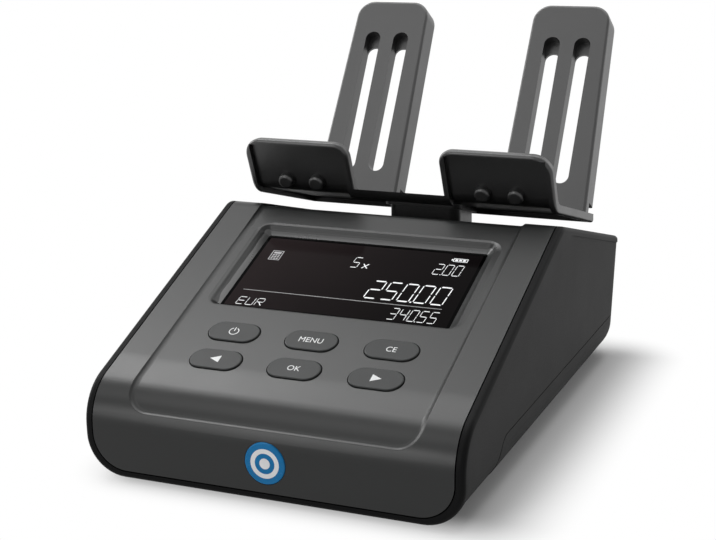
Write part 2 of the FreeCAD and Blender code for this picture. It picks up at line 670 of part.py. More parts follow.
def top_cover():
    body = cover_block("top_cover")
    well = glass_sketch(body)
    reach = "(glass_half + well_wall)"
    long = "(glass_bottom - glass_top)"
    draw_box(well, ("-" + reach, "-%s - well_wall" % long), (reach, "well_wall"), "well_corner")
    pad(body, well, "glass_top_depth - cover_wall + well_floor")
    combine(body, "Cut", [recess_tool()])
    sweep, deep = size("recess_sweep"), size("recess_depth")
    border = size("recess_half") - sweep + math.sqrt(2 * sweep * deep - deep ** 2)
    round_edges(body, "recess_edge", lambda edge: all(
        abs(abs(point.x) - border) < NEAR for point in ends(edge)))
    rim = panel_sketch(body, "recess_depth - hair")
    draw_box(rim, ("-rim_half", "-rim_bottom"), ("rim_half", "-rim_top"), "rim_corner")
    mouth = glass_sketch(body, "hair")
    draw_box(mouth, ("-glass_half", "-" + long), ("glass_half", "0"), "glass_corner")
    DOC.recompute()
    before = body.Shape.Volume
    bevel = body.newObject("PartDesign::SubtractiveLoft", "display_bevel")
    bevel.Profile = rim
    bevel.Sections = [mouth]
    bevel.Ruled = True
    DOC.recompute()
    check_change(body, bevel, before)
    rim_half = size("rim_half")
    round_edges(body, "rim_edge", lambda edge: all(
        abs(panel_depth(point) - deep) < NEAR and abs(point.x) < rim_half + NEAR for point in ends(edge)))
    for across, along in KEYS.values():
        hole = panel_sketch(body)
        draw_pill(hole, across, along, "key_long + 2*key_gap", "key_wide + 2*key_gap")
        pocket(body, hole, "cover_wall + past")
    for across, along in BOARD_BOSSES:
        boss = panel_sketch(body, "cover_wall - sunk")
        draw_circle(boss, across, along, "boss_radius")
        pad(body, boss, BOARD_DROP + " - cover_wall + sunk", back=True)
        pilot = panel_sketch(body, BOARD_DROP)
        draw_circle(pilot, across, along, "small_screw + screw_gap")
        pocket(body, pilot, "small_screw_bite + past/2", back=True)
    badge = new_sketch(body, "XZ_Plane", "front_y")
    draw_circle(badge, "0", "badge_z", "badge_radius + badge_gap")
    pocket(body, badge, "badge_wall - badge_proud")
    return body


def recess_tool():
    """The shallow U that is sunk into the cover: the skin's band, bounded by a round-cornered front."""
    body = new_body("recess_band")
    outline = new_sketch(body, "YZ_Plane")
    front_in = "-(front_y - recess_depth)"
    crest_in = crest_y("recess_depth", "recess_depth")
    back = "cover_rear_y + " + BEYOND
    draw_outline(outline, [
        ("-front_y - " + BEYOND, "cover_bottom"), ("-front_y - " + BEYOND, "deck_z + " + BEYOND),
        (back, "deck_z + " + BEYOND), (back, deck_line(back, "recess_depth")),
        (crest_in, panel_line(crest_in, "recess_depth"), "crest_radius - recess_depth"),
        (front_in, panel_line(front_in, "recess_depth"), "bend_radius - recess_depth"),
        (front_in, "cover_bottom")])
    pad(body, outline, "2*recess_half", both=True)
    window = box_body("recess_window", "XZ_Plane", ("-recess_half", "ledge_z"),
                      ("recess_half", "deck_z + 3*" + BEYOND), "front_y + 2*" + BEYOND,
                      "small_corner", "ledge_corner")
    window.Tip.Reversed = True
    bind(window.Tip, "Length", "front_y + cover_rear_y + 6*" + BEYOND)
    combine(body, "Common", [window])
    edge_x, ledge, corner = size("recess_half"), size("ledge_z"), size("ledge_corner")
    skin_back = size("cover_rear_y")

    def recess_foot(edge):
        middle = edge.valueAt((edge.FirstParameter + edge.LastParameter) / 2)
        points = ends(edge) + [middle]
        return (all(on_recess_floor(point) for point in points)
                and min(point.y for point in points) < skin_back
                and (abs(middle.x) > edge_x - corner or middle.z < ledge + corner))

    round_edges(body, "recess_sweep", recess_foot)
    return body


def on_recess_floor(point):
    """Whether a point lies on the recess's floor: the cover's skin, sunk by the recess's depth."""
    depth = size("recess_depth")
    front = abs(point.y + size("front_y") - depth) < NEAR
    panel = abs(panel_depth(point) - depth) < NEAR
    tilt = math.radians(size("deck_tilt"))
    deck_depth = (size("deck_z") - point.z) * math.cos(tilt) - point.y * math.sin(tilt)
    return front or panel or abs(deck_depth - depth) < NEAR


KEYS = {
    "power_button": ("-key_pitch_x", "-key_row_one"),
    "menu_button": ("0", "-key_row_one"),
    "clear_button": ("key_pitch_x", "-key_row_one"),
    "left_button": ("-key_pitch_x", "-key_row_two"),
    "ok_button": ("0", "-key_row_two"),
    "right_button": ("key_pitch_x", "-key_row_two"),
}
BOARD_BOSSES = mirrored_points("boss_x", ("-boss_top", "-boss_bottom"))
FLANGE_DROP = "(cover_wall + key_play)"
STEM_DROP = "(cover_wall + key_play + key_flange_wall + key_stem)"
DOME_DROP = "(" + STEM_DROP + " + key_travel + mat_slack)"
MAT_DROP = "(" + DOME_DROP + " + mat_dome)"
BOARD_DROP = "(" + MAT_DROP + " + mat_wall)"
BOARD_BACK = "(" + BOARD_DROP + " + board_wall)"


def panel_depth(point):
    """How far a point lies below the sloping panel."""
    tilt = math.radians(size("panel_tilt"))
    return (size("panel_z") - point.z) * math.cos(tilt) + point.y * math.sin(tilt)


def key_cap(label, across, along):
    """A pill-shaped cap with a flange that keeps it under the cover, and a stem for its dome."""
    body = new_body(label)
    top = "(recess_depth - key_proud)"
    cap = panel_sketch(body, top)
    draw_pill(cap, across, along, "key_long", "key_wide")
    pad(body, cap, "%s - %s" % (FLANGE_DROP, top), back=True)
    depth = number(cells(top))
    round_edges(body, "key_edge", lambda edge: all(
        abs(panel_depth(point) - depth) < NEAR for point in ends(edge)))
    flange = panel_sketch(body, FLANGE_DROP)
    draw_pill(flange, across, along, "key_long + 2*key_flange", "key_wide + 2*key_flange")
    pad(body, flange, "key_flange_wall", back=True)
    stem = panel_sketch(body, "%s + key_flange_wall" % FLANGE_DROP)
    draw_circle(stem, across, along, "stem_radius")
    pad(body, stem, "key_stem", back=True)
    return body


def display_window():
    body = new_body("display_window")
    outline = glass_sketch(body)
    reach = "(glass_half + glass_lip)"
    draw_box(outline, ("-" + reach, "-(glass_bottom - glass_top) - glass_lip"), (reach, "glass_lip"),
             "small_corner")
    pad(body, outline, "glass_wall", back=True)
    return body


def lcd_module():
    body = new_body("lcd_module")
    outline = panel_sketch(body, BOARD_DROP)
    middle = "(glass_top + glass_bottom)/2"
    draw_box(outline, ("-lcd_half", "-%s - lcd_high/2" % middle), ("lcd_half", "-%s + lcd_high/2" % middle),
             "small_corner")
    pad(body, outline, "lcd_wall")
    return body


def keypad_mat():
    body = new_body("keypad_mat")
    outline = panel_sketch(body, BOARD_DROP)
    half = "(key_pitch_x + mat_edge)"
    draw_box(outline, ("-" + half, "-key_row_two - mat_rim"), (half, "-key_row_one + mat_rim"),
             "mat_corner")
    pad(body, outline, "mat_wall")
    for across, along in KEYS.values():
        dome = panel_sketch(body, MAT_DROP)
        draw_circle(dome, across, along, "stem_radius + dome_rim")
        pad(body, dome, "mat_dome", taper="-dome_lean")
    return body


def main_board():
    body = new_body("main_board")
    outline = panel_sketch(body, BOARD_BACK)
    draw_box(outline, ("-board_half", "-board_bottom"), ("board_half", "-board_top"), "board_corner")
    pad(body, outline, "board_wall")
    for across, along in BOARD_BOSSES:
        hole = panel_sketch(body, BOARD_DROP)
        draw_circle(hole, across, along, "small_screw + hole_gap")
        pocket(body, hole, "board_wall + past")
    return body


def screw_set(label, places, sketch_at, head_from, head, high, shank, long):
    """Pan-head screws in one node: heads on one plane, shanks along its normal."""
    body = new_body(label)
    for across, along in places:
        top = sketch_at(body, head_from)
        draw_circle(top, across, along, head)
        pad(body, top, high)
    for across, along in places:
        rod = sketch_at(body, head_from)
        draw_circle(rod, across, along, shank)
        pad(body, rod, "%s + %s" % (high, long))
    return body


def flat_sketch(body, height="0"):
    return new_sketch(body, "XY_Plane", height)


def board_screws():
    return screw_set("board_screws", BOARD_BOSSES, panel_sketch, BOARD_BACK + " + small_head_high",
                     "small_screw + small_head", "small_head_high", "small_screw",
                     "board_wall + small_screw_bite")


def housing_screws():
    return screw_set("housing_screws", COLUMNS, flat_sketch, "head_z - head_high", "head_radius",
                     "head_high", "case_screw", "case_screw_long")


def buzzer():
    body = new_body("buzzer")
    outline = panel_sketch(body, BOARD_BACK)
    draw_circle(outline, "-board_half + buzzer_in", "-board_bottom + buzzer_up", "buzzer_radius")
    pad(body, outline, "buzzer_high", back=True)
    hole = panel_sketch(body, BOARD_BACK + " + buzzer_high")
    draw_circle(hole, "-board_half + buzzer_in", "-board_bottom + buzzer_up", "buzzer_hole")
    pocket(body, hole, "buzzer_hole", back=True)
    return body


def front_badge():
    body = new_body("front_badge")
    outline = new_sketch(body, "XZ_Plane", "front_y - badge_wall + badge_proud")
    draw_circle(outline, "0", "badge_z", "badge_radius")
    pad(body, outline, "badge_wall")
    front = -number("Size.front_y + Size.badge_proud")
    round_edges(body, "badge_edge", lambda edge: all(abs(point.y - front) < NEAR for point in ends(edge)))
    return body


def battery_pack():
    body = new_body("battery_pack")
    outline = flat_sketch(body, "floor_z + door_wall + pack_lift")
    draw_box(outline, ("-pack_long/2", "-bay_y - pack_deep/2"), ("pack_long/2", "pack_deep/2 - bay_y"),
             "pack_corner")
    pad(body, outline, "pack_high")
    return body


def battery_contacts():
    """Two sprung strips on the bay's left wall, which press on the battery's end."""
    body = new_body("battery_contacts")
    for step in (-1, 1):
        strip = flat_sketch(body, "floor_z + door_wall + contact_low")
        middle = "-bay_y + %d*contact_pitch/2" % step
        draw_box(strip, ("-%s + contact_gap" % BAY_HALF, middle + " - contact_wide/2"),
                 ("-%s + contact_gap + contact_wall" % BAY_HALF, middle + " + contact_wide/2"))
        pad(body, strip, "contact_high")
    return body


def battery_door():
    body = new_body("battery_door")
    plate = flat_sketch(body, "floor_z")
    draw_box(plate, ("-door_long/2", "-bay_y - door_deep/2"), ("door_long/2", "door_deep/2 - bay_y"),
             "small_corner")
    pad(body, plate, "door_wall")
    pins = new_sketch(body, "YZ_Plane")
    draw_circle(pins, HINGE_Y, "hinge_z", "pin_radius")
    pad(body, pins, "door_long + 2*pin_long", both=True)
    grip = flat_sketch(body, "floor_z")
    draw_pill(grip, "0", "-bay_y - door_deep/2 + grip_in", "grip_long", "grip_wide")
    pocket(body, grip, "grip_deep", back=True)
    return body


def rubber_feet():
    body = new_body("rubber_feet")
    for across, along in FEET:
        pad_sketch = flat_sketch(body)
        draw_circle(pad_sketch, across, along, "foot_radius")
        pad(body, pad_sketch, "floor_z + foot_sunk")
    round_edges(body, "foot_edge", lambda edge: all(abs(point.z) < NEAR for point in ends(edge)))
    return body


CARRIER_Z = "(cell_z + cell_side + spacer)"
POST_Z = "(cell_z + cell_side + spacer + carrier_wall)"
CELL_FIXED = [("-cell_bolt_x - cell_bolt_pitch/2", "cell_y"),
              ("-cell_bolt_x + cell_bolt_pitch/2", "cell_y")]
CELL_FREE = [("cell_bolt_x - cell_bolt_pitch/2", "cell_y"),
             ("cell_bolt_x + cell_bolt_pitch/2", "cell_y")]
POST_SCREWS = [("-post_screw_x", "cell_y"), ("post_screw_x", "cell_y")]


def load_cell():
    """A single-point bar with the usual double hole through its middle, between its thin webs."""
    body = new_body("load_cell")
    outline = new_sketch(body, "XZ_Plane", "cell_side/2 - cell_y")
    draw_box(outline, ("-cell_long/2", "cell_z"), ("cell_long/2", "cell_z + cell_side"))
    pad(body, outline, "cell_side", back=True)
    middle = "cell_z + cell_side/2"
    for step in ("-", ""):
        hole = new_sketch(body, "XZ_Plane", "cell_side - cell_y")
        draw_circle(hole, step + "cell_hole_x", middle, "cell_hole")
        pocket(body, hole, "2*cell_side")
    slot = new_sketch(body, "XZ_Plane", "cell_side - cell_y")
    draw_box(slot, ("-cell_hole_x", middle + " - cell_slot/2"), ("cell_hole_x", middle + " + cell_slot/2"))
    pocket(body, slot, "2*cell_side")
    for across, along in CELL_FIXED + CELL_FREE:
        hole = flat_sketch(body, "cell_z + cell_side + past")
        draw_circle(hole, across, along, "cell_bolt + bolt_gap")
        pocket(body, hole, "cell_side + 2*past")
    return body


def cell_bolts():
    body = new_body("cell_bolts")
    for across, along in CELL_FIXED:
        head = flat_sketch(body, "cell_z + cell_side")
        draw_circle(head, across, along, "cell_head")
        pad(body, head, "cell_head_high")
    for across, along in CELL_FIXED:
        rod = flat_sketch(body, "cell_z - cell_bolt_down")
        draw_circle(rod, across, along, "cell_bolt")
        pad(body, rod, "cell_side + cell_bolt_down + cell_head_high/2")
    return body


def carrier_bolts():
    return screw_set("carrier_bolts", CELL_FREE, flat_sketch, "cell_z - cell_head_high", "cell_head",
                     "cell_head_high", "cell_bolt", "cell_side + spacer + carrier_wall")


def platform_carrier():
    body = new_body("platform_carrier")
    plate = flat_sketch(body, CARRIER_Z)
    draw_box(plate, ("-carrier_left", "cell_y - carrier_half"), ("cell_long/2", "cell_y + carrier_half"),
             "carrier_corner")
    pad(body, plate, "carrier_wall")
    block = flat_sketch(body, "cell_z + cell_side")
    draw_box(block, ("cell_long/2 - pedestal_long", "cell_y - cell_side/2"),
             ("cell_long/2", "cell_y + cell_side/2"), "small_corner")
    pad(body, block, "spacer + carrier_wall/2")
    for across, along in CELL_FREE:
        hole = flat_sketch(body, POST_Z + " + past")
        draw_circle(hole, across, along, "cell_bolt + screw_gap")
        pocket(body, hole, "carrier_wall + spacer + 2*past")
    for across, along in POST_SCREWS:
        hole = flat_sketch(body, POST_Z + " + past")
        draw_circle(hole, across, along, "post_screw + hole_gap")
        pocket(body, hole, "carrier_wall + 2*past")
    return body


def post_screws():
    return screw_set("post_screws", POST_SCREWS, flat_sketch, CARRIER_Z + " - post_head_high",
                     "post_head", "post_head_high", "post_screw", "carrier_wall + post_screw_long")


def tray_line(along, drop="0"):
    return "(tray_top_z - tan(tray_tilt)*(%s) - (%s)/cos(tray_tilt))" % (along, drop)


def above_tray(body, drop):
    """Cut away everything above a plane that lies a depth below the tray's top face."""
    cut = new_sketch(body, "XY_Plane", tray_line("cell_y", drop), "-tray_tilt", ("0", "cell_y"))
    draw_box(cut, ("-post_wide", "-post_wide"), ("post_wide", "post_wide"))
    pocket(body, cut, "4*" + BEYOND, back=True)


def platform_post():
    """The column between load cell and tray, with a slanted top and a spigot that the tray sits on."""
    body = new_body("platform_post")
    column = flat_sketch(body, POST_Z)
    draw_box(column, ("-post_wide/2", "cell_y - post_deep/2"), ("post_wide/2", "cell_y + post_deep/2"),
             "post_corner")
    pad(body, column, "tray_top_z - " + POST_Z)
    above_tray(body, "tray_wall")
    spigot = flat_sketch(body, POST_Z + " + past")
    draw_box(spigot, ("-spigot_wide/2", "cell_y - spigot_deep/2"),
             ("spigot_wide/2", "cell_y + spigot_deep/2"), "spigot_corner")
    pad(body, spigot, "tray_top_z - past - " + POST_Z)
    above_tray(body, "tray_wall - spigot_high")
    for across, along in POST_SCREWS:
        hole = flat_sketch(body, POST_Z)
        draw_circle(hole, across, along, "post_screw + screw_gap")
        pocket(body, hole, "post_screw_long + past", back=True)
    return body


LIP_FOOT_Z = "(tray_top_z - tan(tray_tilt)*lip_y)"


def lip_meets_tray(lip_drop, tray_drop):
    """Where a line parallel to the lips' front meets a line parallel to the tray's floor."""
    start = "(lip_y + %s*tan(lip_tilt) + (%s)/cos(lip_tilt))" % (LIP_FOOT_Z, lip_drop)
    floor = "(tray_top_z - (%s)/cos(tray_tilt))" % tray_drop
    return "((%s - tan(lip_tilt)*%s)/(1 - tan(lip_tilt)*tan(tray_tilt)))" % (start, floor)


def lip_y(height, drop="0"):
    return "(lip_y - ((%s) - %s)*tan(lip_tilt) + (%s)/cos(lip_tilt))" % (height, LIP_FOOT_Z, drop)


def finger_sketch(body, drop="0"):
    """A sketch parallel to the fingers' front faces; its Y runs up them from the tray's floor."""
    lift = tray_line("finger_y") + " - (%s)*cos(finger_tilt)" % drop
    along = "finger_y + (%s)*sin(finger_tilt)" % drop
    return new_sketch(body, "XY_Plane", lift, "finger_tilt", ("0", along))


FINGER_LONG = "((finger_top_z - " + tray_line("finger_y") + ")/sin(finger_tilt))"


def draw_finger(sketch, side, low, inset):
    """One finger's outline, a little narrower at its top, on the left (-1) or right (1)."""
    sign = "-" if side < 0 else ""
    grow = "(finger_outer - finger_top_outer)/%s" % FINGER_LONG
    shrink = "(finger_top_inner - finger_inner)/%s" % FINGER_LONG
    top = "(%s - %s)" % (FINGER_LONG, inset)
    points = [
        ("%s(finger_inner + (%s)*%s + %s)" % (sign, low, shrink, inset), low),
        ("%s(finger_outer - (%s)*%s - %s)" % (sign, low, grow, inset), low),
        ("%s(finger_top_outer - %s)" % (sign, inset), top, "finger_corner - ease*" + inset),
        ("%s(finger_top_inner + %s)" % (sign, inset), top, "finger_corner - ease*" + inset)]
    if side < 0:
        points.reverse()
    draw_outline(sketch, points)


def slot_middles(side):
    return ["%d*(slot_x + %d*slot_pitch/2)" % (side, step) for step in (-1, 1)]


def tray_finger(label, side):
    """One slotted finger: a plate with a deep rim, hollow behind, and a wall round each slot."""
    body = new_body(label)
    plate = finger_sketch(body)
    draw_finger(plate, side, "-finger_bite", "0")
    pad(body, plate, "finger_wall", back=True)
    rim = finger_sketch(body)
    draw_finger(rim, side, "finger_low", "0")
    pad(body, rim, "finger_depth", back=True)
    for depth in (0, size("finger_depth")):
        round_edges(body, "tray_edge", lambda edge, depth=depth: on_finger_face(edge, depth))
    back = finger_sketch(body, "finger_depth")
    draw_finger(back, side, "finger_low + finger_rim", "finger_rim")
    pocket(body, back, "finger_depth - finger_wall", back=True)
    for middle in slot_middles(side):
        wall = finger_sketch(body, "slot_well")
        draw_slot(wall, middle, "slot_wall", "0")
        pad(body, wall, "slot_well - finger_wall/2")
    for middle in slot_middles(side):
        mouth = finger_sketch(body)
        draw_slot(mouth, middle, "0", "0")
        pocket(body, mouth, "slot_deep")
        way = finger_sketch(body)
        draw_slot(way, middle, "0", "slot_step")
        pocket(body, way, "finger_depth + past")
    return body


def on_finger_face(edge, depth):
    """Whether an edge runs round a finger, above its foot, at a depth behind its front face."""
    middle = edge.valueAt((edge.FirstParameter + edge.LastParameter) / 2)
    places = [finger_place(point) for point in ends(edge) + [middle]]
    if max(up for up, back in places) < size("finger_low") + NEAR:
        return False
    return all(abs(back - depth) < NEAR for up, back in places)


def finger_place(point):
    """How far up a finger a point lies, and how far behind its front face."""
    tilt = math.radians(size("finger_tilt"))
    forward = point.y - size("finger_y")
    rise = point.z - number(cells(tray_line("finger_y")))
    up = forward * math.cos(tilt) + rise * math.sin(tilt)
    depth = forward * math.sin(tilt) - rise * math.cos(tilt)
    return up, depth


def draw_slot(sketch, middle, grow, drop):
    """A slot's round-ended outline, made larger by a wall, with its top end lowered by a step."""
    half = "(slot_wide/2 + %s)" % grow
    draw_box(sketch, ("%s - %s" % (middle, half), "slot_low - %s" % grow),
             ("%s + %s" % (middle, half), "slot_high + %s - %s" % (grow, drop)), half + " - hair")


def dish_side(label, low_x, high_x, front):
    """Part of the hollow in front of a lip and under the floor, between two places along X."""
    body = new_body(label)
    outline = new_sketch(body, "YZ_Plane", "(%s + %s)/2" % (low_x, high_x))
    skin = "(tray_wall - tray_dish)"
    back = "(tray_rear_y - tray_rim)"
    under = tray_line(back, "tray_wall") + " - " + BEYOND
    if front is None:
        top = "(lip_top_z - tray_rim)"
        turn = lip_meets_tray("tray_dish", skin)
        outer = lip_y(top) + " - " + BEYOND
        draw_outline(outline, [
            (outer, top), (outer, under), (back, under), (back, tray_line(back, skin)),
            (turn, tray_line(turn, skin), "lip_bend - tray_dish"), (lip_y(top, "tray_dish"), top)])
    else:
        draw_outline(outline, [
            (front, under), (back, under), (back, tray_line(back, skin)),
            (front, tray_line(front, skin))])
    pad(body, outline, "%s - %s" % (high_x, low_x), both=True)
    return body


def cut_tray_dish(body):
    """Hollow the tray's front and underside a little, leaving a rim all round and the post's seat."""
    near, far = "(lip_inner + tray_rim)", "(tray_half - tray_rim)"
    middle = dish_side("middle_hollow", "-" + near, near, "lip_y + 2*tray_rim")
    seat = box_body("post_seat", "XY_Plane",
                    ("-post_wide/2 - seat_rim", "cell_y - post_deep/2 - seat_rim"),
                    ("post_wide/2 + seat_rim", "cell_y + post_deep/2 + seat_rim"),
                    "post_z_low", "tray_top_z", "post_corner")
    combine(middle, "Cut", [seat])
    combine(body, "Cut", [dish_side("right_hollow", near, far, None)])
    combine(body, "Cut", [dish_side("left_hollow", "-" + far, "-" + near, None)])
    combine(body, "Cut", [middle])


def money_tray():
    """A cradle in one piece: sloping floor, two front lips, two slotted fingers with rims behind."""
    body = new_body("money_tray")
    outline = new_sketch(body, "YZ_Plane")
    low_y = lip_meets_tray("0", "tray_wall")
    in_y = lip_meets_tray("tray_wall", "0")
    draw_outline(outline, [
        (lip_y("lip_top_z"), "lip_top_z"),
        (low_y, tray_line(low_y, "tray_wall"), "lip_bend"),
        ("tray_rear_y", tray_line("tray_rear_y", "tray_wall")),
        ("tray_rear_y", tray_line("tray_rear_y")),
        (in_y, tray_line(in_y), "lip_bend - tray_wall"),
        (lip_y("lip_top_z", "tray_wall"), "lip_top_z")])
    pad(body, outline, "2*tray_half", both=True)
    between = new_body("lip_gap")
    gap = new_sketch(between, "YZ_Plane")
    ahead, behind = "lip_y - 4*" + BEYOND, "lip_y + 2*" + BEYOND
    draw_outline(gap, [(ahead, tray_line(ahead)), (behind, tray_line(behind)),
                       (behind, "lip_top_z + " + BEYOND), (ahead, "lip_top_z + " + BEYOND)])
    pad(between, gap, "2*lip_inner", both=True)
    combine(body, "Cut", [between])
    lowest = size("lip_top_z") - size("lip_corner_outer")
    for radius, across in (("lip_corner_outer", "tray_half"), ("lip_corner_inner", "lip_inner")):
        side = size(across)
        round_edges(body, radius, lambda edge, side=side: all(
            abs(abs(point.x) - side) < NEAR and point.z > lowest for point in ends(edge)))

    round_edges(body, "tray_edge", lambda edge: on_lip_plane(edge, 0, lowest))
    cut_tray_dish(body)
    socket = new_body("post_socket")
    mouth = flat_sketch(socket, tray_line("cell_y") + " - " + BEYOND)
    draw_box(mouth, ("-spigot_wide/2 - spigot_gap", "cell_y - spigot_deep/2 - spigot_gap"),
             ("spigot_wide/2 + spigot_gap", "cell_y + spigot_deep/2 + spigot_gap"),
             "spigot_corner + spigot_gap")
    pad(socket, mouth, "2*" + BEYOND)
    above_tray(socket, "tray_wall - spigot_high - hole_gap")
    combine(body, "Cut", [socket])
    for middle in slot_middles(-1) + slot_middles(1):
        bump = new_sketch(body, "XY_Plane", LIP_FOOT_Z + " + tray_wall*sin(lip_tilt)", "90 + lip_tilt",
                          ("0", "lip_y + tray_wall*cos(lip_tilt)"))
        draw_circle(bump, middle, "bump_up", "bump_radius")
        pad(body, bump, "tray_wall - tray_dish + bump_high")
    rise = size("tray_dish") - size("bump_high")
    round_edges(body, "tray_edge", lambda edge: on_lip_plane(edge, rise, 0))
    combine(body, "Fuse", [tray_finger("left_finger", -1), tray_finger("right_finger", 1)])
    return body


def lip_depth(point):
    """How far a point lies behind the lips' front face."""
    tilt = math.radians(size("lip_tilt"))
    rise = point.z - number(cells(LIP_FOOT_Z))
    return (point.y - size("lip_y")) * math.cos(tilt) + rise * math.sin(tilt)


def on_lip_plane(edge, depth, lowest):
    """Whether an edge lies at a depth behind the lips' front face, above a height."""
    middle = edge.valueAt((edge.FirstParameter + edge.LastParameter) / 2)
    points = ends(edge) + [middle]
    return all(abs(lip_depth(point) - depth) < NEAR and point.z > lowest for point in points)


def power_jack():
    body = new_body("power_jack")
    outline = rear_sketch(body, "port_inset")
    draw_circle(outline, "jack_x", "port_up", "jack_radius")
    pad(body, outline, "port_deep - port_inset")
    bore = rear_sketch(body, "port_inset")
    draw_circle(bore, "jack_x", "port_up", "jack_bore")
    pocket(body, bore, "socket_deep", back=True)
    pin = rear_sketch(body, "port_inset + past")
    draw_circle(pin, "jack_x", "port_up", "jack_pin")
    pad(body, pin, "socket_deep")
    return body


def square_port(label, across, wide, high, open_wide, open_high):
    """A socket's outer box with its mouth, reaching back to the port board."""
    body = new_body(label)
    outline = rear_sketch(body, "port_inset")
    draw_box(outline, ("%s - %s/2" % (across, wide), "port_up - %s/2" % high),
             ("%s + %s/2" % (across, wide), "port_up + %s/2" % high), "socket_corner")
    pad(body, outline, "port_deep - port_inset")
    mouth = rear_sketch(body, "port_inset")
    draw_box(mouth, ("%s - (%s)/2" % (across, open_wide), "port_up - (%s)/2" % open_high),
             ("%s + (%s)/2" % (across, open_wide), "port_up + (%s)/2" % open_high), "mouth_corner")
    pocket(body, mouth, "socket_deep", back=True)
    return body


def usb_port():
    body = square_port("usb_port", "usb_x", "usb_wide", "usb_high", "usb_wide - 2*usb_skin",
                       "usb_high - 2*usb_skin")
    tongue = rear_sketch(body, "port_inset + tongue_in")
    draw_box(tongue, ("usb_x - usb_tongue_wide/2", "port_up - usb_tongue_high/2"),
             ("usb_x + usb_tongue_wide/2", "port_up + usb_tongue_high/2"), "mouth_corner")
    pad(body, tongue, "socket_deep")
    return body


def printer_port():
    body = square_port("printer_port", "printer_x", "printer_wide", "printer_high",
                       "printer_open_wide", "printer_open_high")
    notch = rear_sketch(body, "port_inset")
    draw_box(notch, ("printer_x - notch_half", "port_up - printer_open_high/2 - notch_high"),
             ("printer_x + notch_half", "port_up - printer_open_high/2 + sunk"))
    pocket(body, notch, "socket_deep", back=True)
    return body


PORT_SCREWS = [("port_board_left + port_screw_in", "port_board_low + port_screw_up"),
               ("port_board_right - port_screw_in", "port_board_low + port_screw_up")]


def port_board():
    body = new_body("port_board")
    outline = rear_sketch(body, "port_deep")
    draw_box(outline, ("port_board_left", "port_board_low"), ("port_board_right", "port_board_high"),
             "small_corner")
    pad(body, outline, "board_wall")
    for across, along in PORT_SCREWS:
        hole = rear_sketch(body, "port_deep")
        draw_circle(hole, across, along, "small_screw + hole_gap")
        pocket(body, hole, "board_wall + past", back=True)
    return body


def port_screws():
    body = new_body("port_screws")
    for across, along in PORT_SCREWS:
        head = rear_sketch(body, "port_deep + board_wall")
        draw_circle(head, across, along, "small_screw + small_head")
        pad(body, head, "small_head_high")
    for across, along in PORT_SCREWS:
        rod = rear_sketch(body, "port_deep + board_wall + small_head_high/2")
        draw_circle(rod, across, along, "small_screw")
        pad(body, rod, "board_wall + port_screw_bite", back=True)
    return body


def add_rear_sockets(body):
    """Cut-outs for the sockets in the housing's rear wall, and the two bosses of their board."""
    for across, along in PORT_SCREWS:
        boss = rear_sketch(body, "wall - sunk")
        draw_circle(boss, across, along, "boss_radius")
        pad(body, boss, "port_deep - wall + sunk")
        pilot = rear_sketch(body, "port_deep")
        draw_circle(pilot, across, along, "small_screw + screw_gap")
        pocket(body, pilot, "port_screw_bite + 2*past")
    jack = rear_sketch(body)
    draw_circle(jack, "jack_x", "port_up", "jack_radius + port_gap")
    pocket(body, jack, "wall + 2*past", back=True)
    for across, wide, high in (("usb_x", "usb_wide", "usb_high"),
                               ("printer_x", "printer_wide", "printer_high")):
        hole = rear_sketch(body)
        draw_box(hole, ("%s - %s/2 - port_gap" % (across, wide), "port_up - %s/2 - port_gap" % high),
                 ("%s + %s/2 + port_gap" % (across, wide), "port_up + %s/2 + port_gap" % high),
                 "socket_corner + port_gap")
        pocket(body, hole, "wall + 2*past", back=True)


def main():
    pieces = [main_housing(), base_shell(), top_cover(), display_window(), lcd_module(), main_board(),
              board_screws(), keypad_mat(), buzzer(), front_badge(), battery_pack(),
              battery_contacts(), battery_door(), rubber_feet(), housing_screws(), load_cell(),
              cell_bolts(), platform_carrier(), carrier_bolts(), platform_post(), post_screws(),
              money_tray(), power_jack(), usb_port(), printer_port(), port_board(), port_screws()]
    add_rear_sockets(pieces[0])
    pieces += [key_cap(label, *place) for label, place in KEYS.items()]
    DOC.recompute()
    for item in DOC.Objects:
        if "Invalid" in item.State or "Error" in item.State:
            raise RuntimeError("failed: " + item.Name)
    for piece in pieces:
        if piece.Shape.isNull() or not piece.Shape.isValid():
            raise RuntimeError("bad shape: " + piece.Label)
    os.makedirs("parts", exist_ok=True)
    for piece in pieces:
        piece.Shape.exportStep("parts/" + piece.Label + ".step")
        print(piece.Label, len(piece.Shape.Solids), round(piece.Shape.Volume, 1))


main()
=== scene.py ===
"""Money counting scale: its finishes, printed legends, display figures, screws and studio set.

Metres, +X to the right, the front faces -Y, +Z up, origin on the table under the middle.
Sizes of pieces are millimetres until the pieces are placed.
"""
import bpy
import numpy as np
from math import cos, radians, sin, tan
from mathutils import Matrix, Vector


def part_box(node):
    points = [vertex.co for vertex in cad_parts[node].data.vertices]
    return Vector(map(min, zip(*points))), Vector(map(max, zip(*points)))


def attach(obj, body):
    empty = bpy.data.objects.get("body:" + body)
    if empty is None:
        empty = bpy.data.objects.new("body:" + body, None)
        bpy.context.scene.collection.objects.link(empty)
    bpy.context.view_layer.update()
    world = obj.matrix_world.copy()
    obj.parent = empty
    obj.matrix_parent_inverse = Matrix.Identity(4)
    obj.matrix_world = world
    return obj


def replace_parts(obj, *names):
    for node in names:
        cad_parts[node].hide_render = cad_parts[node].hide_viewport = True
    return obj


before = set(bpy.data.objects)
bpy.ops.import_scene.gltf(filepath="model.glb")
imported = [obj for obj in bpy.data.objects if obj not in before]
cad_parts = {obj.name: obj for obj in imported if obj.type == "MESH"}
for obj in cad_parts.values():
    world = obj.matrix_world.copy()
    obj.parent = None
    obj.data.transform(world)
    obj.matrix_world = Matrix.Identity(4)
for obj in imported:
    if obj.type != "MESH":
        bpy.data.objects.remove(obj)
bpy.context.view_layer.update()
MM = 0.001
TURN = 2 * np.pi

